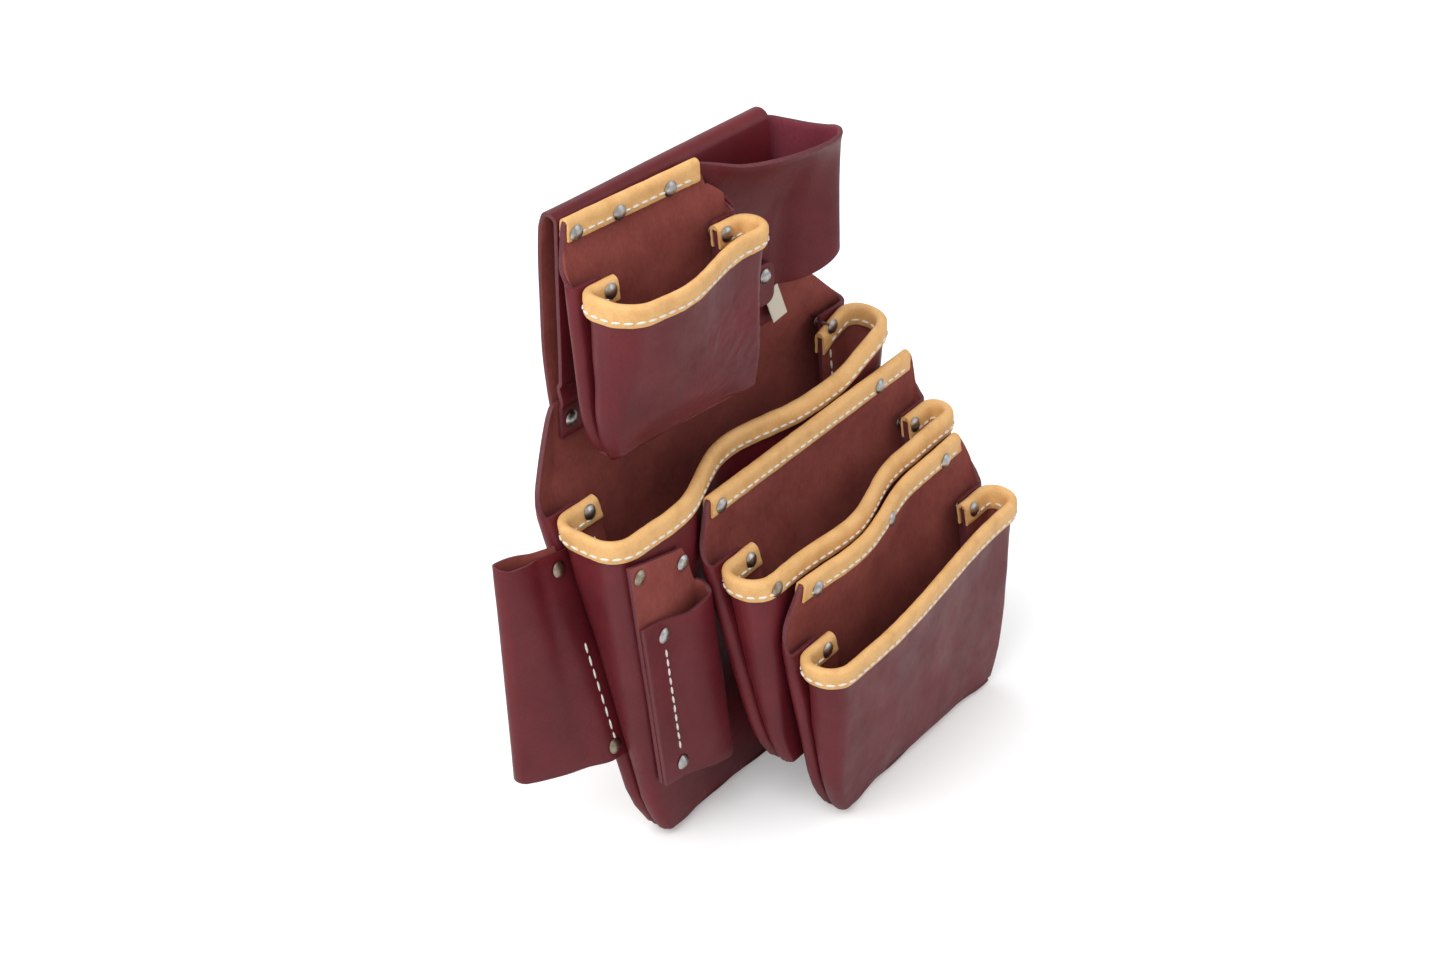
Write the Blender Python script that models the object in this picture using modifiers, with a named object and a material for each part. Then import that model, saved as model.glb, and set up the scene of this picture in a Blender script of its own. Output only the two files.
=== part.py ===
"""Leather tool pouch for an electrician: a riveted, hand-sized assembly of folded leather sheets.

A belt tunnel carries a back panel. Three gusseted pouches hang one in front of the other, a small
one hangs from the tunnel, and a flat sleeve, a folded sheath and a side loop hold single tools.
Lengths are metres, +Z is up, -Y is the front, and the open side loop is at +X.
"""

import math
from dataclasses import dataclass, field

import bmesh
import bpy
from mathutils import Matrix, Vector

# Leather and fit
LEATHER = 0.0024          # thickness of the body leather
BINDING = 0.0012          # thickness of the tan edge binding
SLEEVE_LEATHER = 0.0012   # thickness of the left tool sleeve
CLEAR = 0.0003            # gap kept between touching pieces
BINDING_CLEAR = 0.0005    # gap between a binding and the edge it is folded over
BINDING_DROP = 0.0116     # height of a binding from its fold to its lower edge
SEAM_GAP = 0.0023         # room between the two flanges of a side seam
FLANGE = 0.020            # length of a seam flange at the mouth, turned inwards
FLANGE_LOW = 0.004        # its length at the bottom of a pouch

# Rivets
RIVET_HEAD = 0.0042       # radius of the domed head
RIVET_DOME = 0.0018       # height of the domed head
RIVET_BURR = 0.0030       # radius of the burr on the far side
RIVET_BURR_HEIGHT = 0.0008
RIVET_SHANK = 0.0012      # radius of the shank
RIVET_HOLE = 0.00155      # radius of the hole punched for it
RIVET_SIDES = 10

# Belt tunnel
TUNNEL_LEFT = -0.078
TUNNEL_TOP_RIGHT = 0.078
TUNNEL_BOTTOM_RIGHT = 0.090
TUNNEL_BOTTOM = 0.216     # lower edge, over the back panel
TUNNEL_SEAM = 0.020       # height of the lap sewn to the back panel
TUNNEL_LAP = -0.0030      # y of the back panel between the tunnel's two lower edges
TUNNEL_FRONT = -0.0065    # y of the front layer
TUNNEL_REAR = 0.0045      # y of the rear layer
TUNNEL_RIDGE = 0.3365     # height of the fold over the belt

# Side loop
LOOP_REAR_TAB = 0.050     # x of the end of the tab inside the tunnel
LOOP_RIVET = (0.068, 0.250)
LOOP_REAR_RIVET = (0.064, 0.296)
LOOP_SLACK = 0.0010       # room between the loop's rear tab and the tunnel's rear layer

# Tool sleeve on the left side
SLEEVE_TOP = 0.171
SLEEVE_BOTTOM = 0.052
SLEEVE_FOLD_TOP = (-0.144, -0.025)      # x and y of its left fold at the top
SLEEVE_FOLD_BOTTOM = (-0.140, -0.029)   # the same at the bottom
SLEEVE_FOLD = 0.0045      # radius of the fold
SLEEVE_TONGUE = 0.008     # part of it caught in the seam of the main pouch
SLEEVE_RIVET = 0.0050     # from the main pouch's left ridge out to its rivets

# Folded sheath on the main pouch
SHEATH_TOP = 0.1770
SHEATH_TOP_DROP = 0.010   # how much lower its backing ends at the right
SHEATH_MOUTH = 0.141
SHEATH_BOTTOM = 0.040
SHEATH_WIDTH = 0.043
SHEATH_FOLD = 0.0042      # radius of its right-hand fold
SHEATH_INSET = 0.008      # from the main pouch's left ridge to its left edge
SHEATH_RIVET = 0.0095     # from its left edge to its rivets

# Anchor tab and blank tag of the loop
TAB_WIDTH = 0.015
TAB_LENGTH = 0.024
TAG_WIDTH = 0.009
TAG_LENGTH = 0.030
TAG_THICKNESS = 0.0008
TAG_ABOVE = 0.0035        # how far the tag reaches above its rivet

# Hinge of the small pouch
HANGER_TOP = 0.336        # crest of the binding that hangs the small pouch
FLEX_GAP = 0.0013         # bare line under the binding, where the small pouch's leather flexes

HALF = LEATHER / 2
SEAM_HALF = (LEATHER + SEAM_GAP) / 2
BOUND_HALF = HALF + BINDING_CLEAR + BINDING       # half thickness of a bound edge
TIGHT = LEATHER + 2 * CLEAR               # closest pitch of two sheets, kept from touching


# Rows of a back sheet, as shares of its height up to the binding's lower edge
BACK_ROWS = (0, 0.12, 0.38, 0.7, 1)


def smooth(value: float) -> float:
    """Ease a value from 0 to 1."""
    value = min(max(value, 0.0), 1.0)
    return value * value * (3 - 2 * value)


def mix(first: float, second: float, share: float) -> float:
    """Blend two numbers."""
    return first + (second - first) * share


def wave(points: list, place: float) -> float:
    """Read an eased curve through (place, value) points, with places from 0 to 1."""
    if place <= points[0][0]:
        return points[0][1]
    for (start, low), (end, high) in zip(points, points[1:]):
        if place <= end:
            return mix(low, high, smooth((place - start) / (end - start)))
    return points[-1][1]


def even_steps(path: list, count: int) -> list:
    """Points at even steps along a path in the plane, with both of its ends."""
    lengths = [0.0]
    for (x0, y0), (x1, y1) in zip(path, path[1:]):
        lengths.append(lengths[-1] + math.hypot(x1 - x0, y1 - y0))
    points = [path[0]]
    for k in range(1, count - 1):
        goal = lengths[-1] * k / (count - 1)
        i = max(j for j in range(len(path) - 1) if lengths[j] <= goal)
        share = (goal - lengths[i]) / (lengths[i + 1] - lengths[i])
        points.append((mix(path[i][0], path[i + 1][0], share), mix(path[i][1], path[i + 1][1], share)))
    return points + [path[-1]]


@dataclass(frozen=True)
class Level:
    """A pouch's plan at one height: x of both side ridges, y of back, seam and front at the left."""

    height: float
    left: float
    right: float
    back: float
    seam: float
    front: float


@dataclass(frozen=True)
class Pouch:
    """A gusseted pouch: a back sheet with folded wings, and a front sheet that curls round both sides."""

    name: str
    mouth: Level
    bottom: Level
    top: float                     # height of the back sheet
    top_left: float                # x of the back sheet's top corners
    top_right: float
    top_back: float                # y of the back sheet's top edge at the left
    slope: float                   # y gained per metre to the right
    rise: float = 0.0              # extra height of the mouth at its right end
    wing_inset: float = 0.012      # how far the back's corner lies inside the side ridge
    rear_curl: float = 0.010       # radius where the front sheet leaves the seam
    front_curl: float = 0.018      # radius where it turns into the front
    front_wave: list = field(default_factory=lambda: [(0, 0), (1, 0)])
    back_wave: list = field(default_factory=lambda: [(0, 0), (1, 0)])
    back_fade: tuple = (0.0, 0.0)  # heights between which the back's wave grows
    right_shift: float = 0.0       # how much further back the right-hand seam lies at the mouth
    top_slope: float = 99.0        # slope at the back's top; over 9 keeps the pouch's own
    lift_end: float = 0.0          # height where the back reaches its top's plan; 0 is the top
    back_rows: tuple = BACK_ROWS
    flange: float = FLANGE

    def level(self, height: float) -> Level:
        """The plan at a height between the bottom and the mouth, or straight above the mouth."""
        share = (height - self.bottom.height) / (self.mouth.height - self.bottom.height)
        share = min(share, 1.0)
        names = ("left", "right", "back", "seam", "front")
        values = {n: mix(getattr(self.bottom, n), getattr(self.mouth, n), share) for n in names}
        return Level(height, **values)

    def shear(self, x: float, height: float, lift: float = 0.0) -> float:
        """How far a point to the right of the left ridge is moved back."""
        slope = self.slope if self.top_slope > 9 else mix(self.slope, self.top_slope, lift)
        return slope * (x - self.level(height).left)

    def right_level(self, height: float) -> Level:
        """The plan of the right side, which the waves and the shift have moved back."""
        level = self.level(height)
        growth = smooth(level_share(self, height))
        return Level(
            height, level.left, level.right,
            level.back + wave(self.back_wave, 1) * self.back_growth(height),
            level.seam + self.right_shift * self.back_growth(height),
            level.front + wave(self.front_wave, 1) * growth,
        )

    def rim(self, x: float) -> float:
        """Height of the mouth's bound edge at x."""
        place = (x - self.mouth.left) / (self.mouth.right - self.mouth.left)
        return self.mouth.height + self.rise * smooth((place - 0.78) / 0.22)

    def flange_length(self, level: Level) -> float:
        """Length of the seam flanges at a level: they grow short towards the bottom."""
        share = smooth(level_share(self, level.height) / 0.4)
        return mix(FLANGE_LOW, self.flange, share)

    def back_side(self, level: Level, inset: float) -> list:
        """Half of the back sheet's plan from a flange tip to the panel corner, as (inwards, backwards)."""
        depth = level.back - level.seam
        fold = min(0.004, 0.48 * (depth - SEAM_HALF))
        flange = self.flange_length(level)
        lean = math.atan2(inset, depth - SEAM_HALF - 2 * fold)
        path = []
        for k in range(13):
            turn = (math.pi / 2 + lean) * k / 12
            path.append((fold - fold * math.sin(turn), SEAM_HALF + fold - fold * math.cos(turn)))
        for k in range(7):
            turn = lean + (math.pi / 2 - lean) * k / 6
            path.append((inset + fold - fold * math.cos(turn), depth - fold + fold * math.sin(turn)))
        tip = [(fold + flange, SEAM_HALF), (fold + flange / 2, SEAM_HALF)]
        return tip + even_steps(path, WING_COLUMNS - 2)

    def back_point(self, column: int, columns: int, height: float) -> tuple:
        """(x, y) of one column of the back sheet."""
        level = self.level(height)
        share = level_share(self, height)
        side = self.back_side(level, self.wing_inset * min(1.0, share + 0.25))
        count = len(side)
        lift_end = self.lift_end or self.top
        lift = smooth((height - self.mouth.height) / (lift_end - self.mouth.height))
        left_corner = level.left + side[-1][0]
        right_corner = level.right - side[-1][0]
        left_lift = lift * (self.top_left - left_corner)
        right_lift = lift * (self.top_right - right_corner)
        back_lift = lift * (self.top_back - self.mouth.back)
        if column < count:
            risen = wing_share(column)
            x = level.left + side[column][0] + left_lift * risen
            y = level.seam + side[column][1] + back_lift * risen
        elif column >= columns - count:
            mirrored = columns - 1 - column
            risen = wing_share(mirrored)
            right = self.right_level(height)
            side = self.back_side(right, self.wing_inset * min(1.0, share + 0.25))
            x = level.right - side[mirrored][0] + right_lift * risen
            y = right.seam + side[mirrored][1] + back_lift * risen
        else:
            risen = 1.0
            place = (column - count + 1) / (columns - 2 * count + 1)
            x = mix(left_corner + left_lift, right_corner + right_lift, place)
            bulge = wave(self.back_wave, (x - level.left) / (level.right - level.left))
            y = level.back + back_lift + bulge * self.back_growth(height)
        return x, y + self.shear(x, height, lift * risen)

    def back_growth(self, height: float) -> float:
        """How much of the back's wave there is at a height."""
        low, high = self.back_fade
        if high <= low:
            return smooth(level_share(self, height))
        return smooth((height - low) / (high - low))

    def back_top(self, column: int, columns: int) -> float:
        """Height of the back sheet's upper edge in one column: the wings drop in an S to the seam."""
        edge = self.mouth.height - CLEAR - BINDING
        if column < WING_COLUMNS:
            return mix(edge, self.top, wing_share(column))
        if column >= columns - WING_COLUMNS:
            return mix(edge + self.rise, self.top, wing_share(columns - 1 - column))
        return self.top

    def front_side(self, level: Level) -> list:
        """Half of the front sheet's plan from a flange tip to the front, as (inwards, forwards)."""
        depth = level.seam - level.front
        flange = self.flange_length(level)
        room = 0.94 * (depth - SEAM_HALF)
        rear = min(self.rear_curl, 0.45 * room)
        fore = min(self.front_curl, room - rear)
        rear_bend = rear * (1 - math.sqrt(0.5))
        fore_bend = fore * (1 - math.sqrt(0.5))
        low = rear * (1 - math.cos(math.radians(22)))
        return [
            (rear + flange, SEAM_HALF),
            (rear + flange / 2, SEAM_HALF),
            (rear, SEAM_HALF),
            (rear - rear * math.sin(math.radians(22)), SEAM_HALF + low),
            (rear_bend, SEAM_HALF + rear_bend),
            (low, SEAM_HALF + rear - rear * math.sin(math.radians(22))),
            (0, SEAM_HALF + rear),
            (0, depth - fore),
            (fore * (1 - math.cos(math.radians(22))), depth - fore * (1 - math.sin(math.radians(22)))),
            (fore_bend, depth - fore_bend),
            (fore * (1 - math.sin(math.radians(22))), depth - fore * (1 - math.cos(math.radians(22)))),
            (fore, depth),
        ]

    def front_point(self, column: int, columns: int, height: float) -> tuple:
        """(x, y) of one column of the front sheet."""
        level = self.level(height)
        side = self.front_side(level)
        count = len(side)
        share = level_share(self, height)
        if column < count:
            x = level.left + side[column][0]
            y = level.seam - side[column][1]
        elif column >= columns - count:
            right = self.right_level(height)
            inwards, forwards = self.front_side(right)[columns - 1 - column]
            x = level.right - inwards
            y = right.seam - forwards
        else:
            place = (column - count + 1) / (columns - 2 * count + 1)
            x = mix(level.left + side[-1][0], level.right - side[-1][0], place)
            y = level.front + wave(self.front_wave, place) * smooth(share)
            ramp = smooth((min(place, 1 - place) - 0.05) / 0.14)
            pinch = smooth((PINCH - share) / PINCH) * ramp
            bulge = wave(self.back_wave, place) * self.back_growth(height)
            y = mix(y, level.back + bulge - TIGHT - 2 * CLEAR, pinch)
        return x, y + self.shear(x, height)


WING_COLUMNS = 11         # columns of a back sheet's wing, from its flange to the panel's corner
BACK_COLUMNS = 30
FRONT_COLUMNS = 38
PINCH = 0.22              # share of a pouch's height over which its front draws in to the bottom fold
FRONT_ROWS = (0, 0.055, 0.13, 0.28, 0.55, 0.78, 1)


def wing_share(column: int) -> float:
    """How far a wing's column has risen from the seam (0) to the panel (1)."""
    return smooth((column - 3) / (WING_COLUMNS - 4))


def level_share(pouch: Pouch, height: float) -> float:
    """Height as a share of the way from a pouch's bottom to its mouth, from 0 to 1."""
    share = (height - pouch.bottom.height) / (pouch.mouth.height - pouch.bottom.height)
    return min(max(share, 0.0), 1.0)


MAIN = Pouch(
    name="main_pouch",
    mouth=Level(0.190, -0.105, 0.146, -0.0100, -0.0225, -0.0640),
    bottom=Level(0.0, -0.077, 0.122, -0.0525, -0.0595, -0.0665),
    top=0.235,
    top_left=-0.080,
    top_right=0.108,
    top_back=-0.0030,
    slope=0.055,
    rise=0.014,
    front_curl=0.013,
    top_slope=0.0,
    lift_end=0.213,
    back_rows=(0, 0.12, 0.4, 0.7, 0.845, 0.947, 1),
    front_wave=[(0, 0), (0.14, 0.0), (0.46, 0.0215), (0.72, 0.013), (1, 0.013)],
)

MIDDLE = Pouch(
    name="middle_pouch",
    mouth=Level(0.152, -0.042, 0.163, -0.0600, -0.0730, -0.1000),
    bottom=Level(0.030, -0.024, 0.144, -0.0900, -0.0970, -0.1040),
    top=0.1805,
    top_left=-0.031,
    top_right=0.152,
    top_back=-0.0605,
    slope=0.09,
    wing_inset=0.008,
    right_shift=0.004,
    front_wave=[(0, 0), (0.12, 0), (0.36, -0.0030), (0.74, 0.0120), (1, 0.0135)],
)

FRONT = Pouch(
    name="front_pouch",
    mouth=Level(0.110, -0.029, 0.169, -0.1050, -0.1135, -0.1400),
    bottom=Level(0.0, -0.006, 0.151, -0.1110, -0.1180, -0.1250),
    top=0.1435,
    top_left=-0.016,
    top_right=0.151,
    top_back=-0.1082,
    slope=0.09,
    wing_inset=0.006,
    rear_curl=0.009,
    front_curl=0.014,
    right_shift=0.0125,
    front_wave=[(0, 0), (0.15, 0), (1, 0.0125)],
    back_wave=[(0, 0), (0.08, 0), (0.29, -0.0030), (0.70, 0.0120), (1, 0.0135)],
    back_fade=(0.030, 0.152),
)

TOP = Pouch(
    name="top_pouch",
    mouth=Level(0.306, -0.083, 0.030, -0.0155, -0.0240, -0.0590),
    bottom=Level(0.216, -0.086, 0.021, -0.0290, -0.0360, -0.0430),
    top=HANGER_TOP - BINDING_DROP - FLEX_GAP,
    top_left=-0.077,
    top_right=0.013,
    top_back=-0.0110,
    slope=-0.043,
    wing_inset=0.006,
    rear_curl=0.008,
    front_curl=0.016,
    flange=0.014,
    front_wave=[(0, 0), (0.5, 0.001), (1, 0.015)],
)
BACK_CREST_MIDDLE = MIDDLE.top + BINDING + CLEAR
BACK_CREST_FRONT = FRONT.top + BINDING + CLEAR


def clear_scene() -> None:
    """Remove whatever the scene starts with."""
    for thing in list(bpy.data.objects):
        bpy.data.objects.remove(thing, do_unlink=True)


def new_collection(name: str, hidden: bool = False):
    """Add a collection to the scene."""
    collection = bpy.data.collections.new(name)
    collection.hide_render = hidden
    bpy.context.scene.collection.children.link(collection)
    return collection


def new_material(name: str, colour: tuple, roughness: float, metallic: float = 0.0):
    """Make a plain Principled material."""
    material = bpy.data.materials.new(name)
    material.use_nodes = True
    shader = material.node_tree.nodes["Principled BSDF"]
    shader.inputs["Base Color"].default_value = (*colour, 1.0)
    shader.inputs["Roughness"].default_value = roughness
    shader.inputs["Metallic"].default_value = metallic
    return material


class Workshop:
    """Holds the collections, the materials and the origin that all pieces hang from."""

    def __init__(self) -> None:
        self.parts = new_collection("tool_pouch")
        self.cutters = new_collection("punches", hidden=True)
        self.origin = bpy.data.objects.new("origin", None)
        self.parts.objects.link(self.origin)
        self.swing = bpy.data.objects.new("top_pouch_swing_axis", None)
        self.parts.objects.link(self.swing)
        self.swing.parent = self.origin
        self.swing.location = swing_point()
        self.leather = new_material("burgundy_leather", (0.105, 0.022, 0.030), 0.42)
        self.tan = new_material("tan_binding", (0.70, 0.40, 0.17), 0.60)
        self.nickel = new_material("nickel_rivet", (0.62, 0.60, 0.57), 0.28, 1.0)
        self.cloth = new_material("blank_tag", (0.80, 0.78, 0.72), 0.80)

    def piece(self, name: str, points: list, faces: list, material):
        """Make an object from points and faces, hung from the origin."""
        mesh = bpy.data.meshes.new(name)
        mesh.from_pydata(points, [], faces)
        mesh.materials.append(material)
        made = bpy.data.objects.new(name, mesh)
        self.parts.objects.link(made)
        made.parent = self.origin
        return made

    def sheet(self, name: str, rows: list, thickness: float, material):
        """Make a leather sheet: a grid of points, row by row, thickened to both sides."""
        wide = len(rows[0])
        points = [point for row in rows for point in row]
        faces = []
        for r in range(len(rows) - 1):
            for c in range(wide - 1):
                start = r * wide + c
                faces.append((start, start + 1, start + wide + 1, start + wide))
        made = self.piece(name, points, faces, material)
        solid = made.modifiers.new("thickness", "SOLIDIFY")
        solid.thickness = thickness
        solid.offset = 0
        solid.use_even_offset = True
        solid.use_quality_normals = True
        made.data.shade_smooth()
        return made

    def binding(self, name: str, crest: list, foot: list, material):
        """Fold a binding over an edge. Crest and foot are its centre line's points, above and below."""
        inner = HALF + BINDING_CLEAR
        outer = inner + BINDING
        ease = BINDING * 0.7
        drop = BINDING / BINDING_DROP
        profile = [
            (-outer, 1), (-outer, drop * 0.7), (-outer + ease, 0), (outer - ease, 0),
            (outer, drop * 0.7), (outer, 1), (inner, 1), (inner, drop), (-inner, drop), (-inner, 1),
        ]
        points = []
        count = len(profile)
        sides_up = path_sides(crest)
        sides_down = path_sides(foot)
        for i, (above, below) in enumerate(zip(crest, foot)):
            for across, down in profile:
                high = Vector(above) + sides_up[i] * across
                low = Vector(below) + sides_down[i] * across
                points.append(high.lerp(low, down))
        faces = [tuple(reversed(range(count))), tuple(range(len(points) - count, len(points)))]
        for i in range(len(crest) - 1):
            for c in range(count):
                a, b = i * count + c, i * count + (c + 1) % count
                faces.append((a, b, b + count, a + count))
        made = self.piece(name, points, faces, material)
        face_outwards(made.data)
        return made

    def rivet(self, name: str, centre: Vector, towards: Vector, grip: float, through: list):
        """Set a rivet: its domed head faces towards, its grip is the leather it holds.

        Each piece that it goes through is punched with a hole.
        """
        high = grip / 2 + CLEAR
        profile = [
            (0, high + RIVET_DOME), (RIVET_HEAD * 0.55, high + RIVET_DOME * 0.86),
            (RIVET_HEAD * 0.9, high + RIVET_DOME * 0.45), (RIVET_HEAD, high),
            (RIVET_SHANK, high), (RIVET_SHANK, -high), (RIVET_BURR, -high),
            (RIVET_BURR, -high - RIVET_BURR_HEIGHT), (0, -high - RIVET_BURR_HEIGHT),
        ]
        mesh = bpy.data.meshes.new(name)
        points = [(radius, 0, up) for radius, up in profile]
        mesh.from_pydata(points, [(i, i + 1) for i in range(len(points) - 1)], [])
        mesh.materials.append(self.nickel)
        made = bpy.data.objects.new(name, mesh)
        self.parts.objects.link(made)
        made.parent = self.origin
        turn = made.modifiers.new("turn", "SCREW")
        turn.steps = RIVET_SIDES
        turn.render_steps = RIVET_SIDES
        turn.use_merge_vertices = True
        turn.merge_threshold = 0.00001
        made.matrix_local = place_along(centre, towards)
        punch = self.punch(name + "_punch", centre, towards, grip + 2 * RIVET_HEAD)
        for target in through:
            cut = target.modifiers.new("hole_" + name, "BOOLEAN")
            cut.object = punch
            cut.operation = "DIFFERENCE"
            cut.solver = "EXACT"
        return made

    def punch(self, name: str, centre: Vector, towards: Vector, length: float):
        """Make the cylinder that punches a rivet's hole."""
        bpy.ops.mesh.primitive_cylinder_add(vertices=RIVET_SIDES, radius=RIVET_HOLE, depth=length)
        made = bpy.context.object
        made.name = name
        for collection in list(made.users_collection):
            collection.objects.unlink(made)
        self.cutters.objects.link(made)
        made.parent = self.origin
        made.matrix_local = place_along(centre, towards)
        made.hide_render = True
        made.display_type = "WIRE"
        return made

    def hang(self, names: list) -> None:
        """Hang pieces, and the punches that made their holes, from the small pouch's hinge."""
        for name in names:
            made = bpy.data.objects[name]
            made.parent = self.swing
            made.matrix_parent_inverse = Matrix.Translation(-swing_point())

    def centre(self) -> None:
        """Put the origin under the middle of the finished object."""
        bpy.context.view_layer.update()
        graph = bpy.context.evaluated_depsgraph_get()
        corners = []
        for made in self.parts.objects:
            if made.type == "MESH":
                ready = made.evaluated_get(graph)
                corners += [made.matrix_world @ Vector(corner) for corner in ready.bound_box]
        low = [min(corner[i] for corner in corners) for i in range(3)]
        high = [max(corner[i] for corner in corners) for i in range(3)]
        self.origin.location = (-(low[0] + high[0]) / 2, -(low[1] + high[1]) / 2, -low[2])


def path_sides(path: list) -> list:
    """The level direction across a path at each point, longer at a bend, so that a width is kept."""
    sides = []
    for i, here in enumerate(path):
        ahead = Vector(path[min(i + 1, len(path) - 1)]) - Vector(here)
        behind = Vector(here) - Vector(path[max(i - 1, 0)])
        steps = [step.to_2d().normalized() for step in (behind, ahead) if step.length > 0]
        run = (steps[0] + steps[-1]).normalized()
        reach = 1 / max(run.dot(steps[0]), 0.5)
        sides.append(Vector((-run.y, run.x, 0)) * reach)
    return sides


def swing_point() -> Vector:
    """The middle of the small pouch's hinge line, just under its upper binding."""
    height = TOP.top + FLEX_GAP / 2
    x = (TOP.top_left + TOP.top_right) / 2
    return Vector((x, sheet_y(TOP, "back", x, height), height))


def place_along(centre: Vector, towards: Vector) -> Matrix:
    """The matrix of a turned piece at centre, with its +Z along towards."""
    turn = Vector(towards).to_track_quat("Z", "Y").to_matrix().to_4x4()
    return Matrix.Translation(centre) @ turn


def face_outwards(mesh) -> None:
    """Turn a closed mesh's faces outwards."""
    shape = bmesh.new()
    shape.from_mesh(mesh)
    bmesh.ops.recalc_face_normals(shape, faces=shape.faces)
    shape.to_mesh(mesh)
    shape.free()


def row_heights(bottom: float, top: float, rows: tuple) -> list:
    """Heights of a column's rows: the last two stand at the binding's lower and upper edge."""
    under = top + BINDING + CLEAR - BINDING_DROP
    return [mix(bottom, under, share) for share in rows] + [top]


def build_back(shop: Workshop, pouch: Pouch, name: str):
    """Make a pouch's back sheet with its two wings."""
    columns = []
    for column in range(BACK_COLUMNS):
        top = pouch.back_top(column, BACK_COLUMNS)
        heights = row_heights(pouch.bottom.height, top, pouch.back_rows)
        columns.append([(*pouch.back_point(column, BACK_COLUMNS, z), z) for z in heights])
    return shop.sheet(name, list(zip(*columns)), LEATHER, shop.leather)


def build_front(shop: Workshop, pouch: Pouch, name: str):
    """Make a pouch's front sheet, curled round both sides."""
    columns = []
    for column in range(FRONT_COLUMNS):
        x, _ = pouch.front_point(column, FRONT_COLUMNS, pouch.mouth.height)
        top = pouch.rim(x) - BINDING - CLEAR
        heights = row_heights(pouch.bottom.height, top, FRONT_ROWS)
        columns.append([(*pouch.front_point(column, FRONT_COLUMNS, z), z) for z in heights])
    return shop.sheet(name, list(zip(*columns)), LEATHER, shop.leather)


def build_mouth_binding(shop: Workshop, pouch: Pouch, name: str):
    """Fold the binding over a pouch's mouth."""
    crest = []
    foot = []
    for column in range(FRONT_COLUMNS):
        x, y = pouch.front_point(column, FRONT_COLUMNS, pouch.mouth.height)
        rim = pouch.rim(x)
        low = rim - BINDING_DROP
        crest.append((*pouch.front_point(column, FRONT_COLUMNS, rim), rim))
        foot.append((*pouch.front_point(column, FRONT_COLUMNS, low), low))
    return shop.binding(name, crest, foot, shop.tan)


def build_back_binding(shop: Workshop, pouch: Pouch, name: str, crest_height: float):
    """Fold the binding over the upper edge of a pouch's back."""
    crest = []
    foot = []
    low = crest_height - BINDING_DROP
    for column in range(WING_COLUMNS - 1, BACK_COLUMNS - WING_COLUMNS + 1):
        crest.append((*pouch.back_point(column, BACK_COLUMNS, crest_height), crest_height))
        foot.append((*pouch.back_point(column, BACK_COLUMNS, low), low))
    return shop.binding(name, crest, foot, shop.tan)


def build_tunnel(shop: Workshop):
    """Fold one strap over the belt: both lower edges lie on the back panel."""
    lap = TUNNEL_LAP
    high = TUNNEL_BOTTOM + TUNNEL_SEAM
    ridge = TUNNEL_RIDGE - HALF
    front, rear = TUNNEL_FRONT, TUNNEL_REAR
    middle = (front + rear) / 2
    face = mix(high + 0.011, ridge - 0.0038, 0.63)
    profile = [
        (lap - TIGHT, TUNNEL_BOTTOM), (lap - TIGHT, high - 0.004), (lap - TIGHT - 0.001, high),
        (front + 0.0015, high + 0.008), (front, high + 0.011), (front, face), (front, ridge - 0.0038),
        (front + 0.0008, ridge - 0.0017), (front + 0.0024, ridge - 0.0004), (middle - 0.001, ridge),
        (middle + 0.002, ridge - 0.0008), (rear - 0.0022, ridge - 0.0035), (rear - 0.0008, ridge - 0.0085),
        (rear, mix(high, ridge, 0.74)), (rear - 0.0002, mix(high, ridge, 0.54)),
        (rear - 0.0008, mix(high, ridge, 0.26)),
        (lap + TIGHT + 0.001, high + 0.002), (lap + TIGHT, high - 0.004), (lap + TIGHT, TUNNEL_BOTTOM),
    ]
    rows = []
    for y, z in profile:
        share = (z - TUNNEL_BOTTOM) / (TUNNEL_RIDGE - TUNNEL_BOTTOM)
        right = mix(TUNNEL_BOTTOM_RIGHT, TUNNEL_TOP_RIGHT, share)
        rows.append([(mix(TUNNEL_LEFT, right, c / 8), y, z) for c in range(9)])
    return shop.sheet("belt_tunnel", rows, LEATHER, shop.leather)


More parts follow.
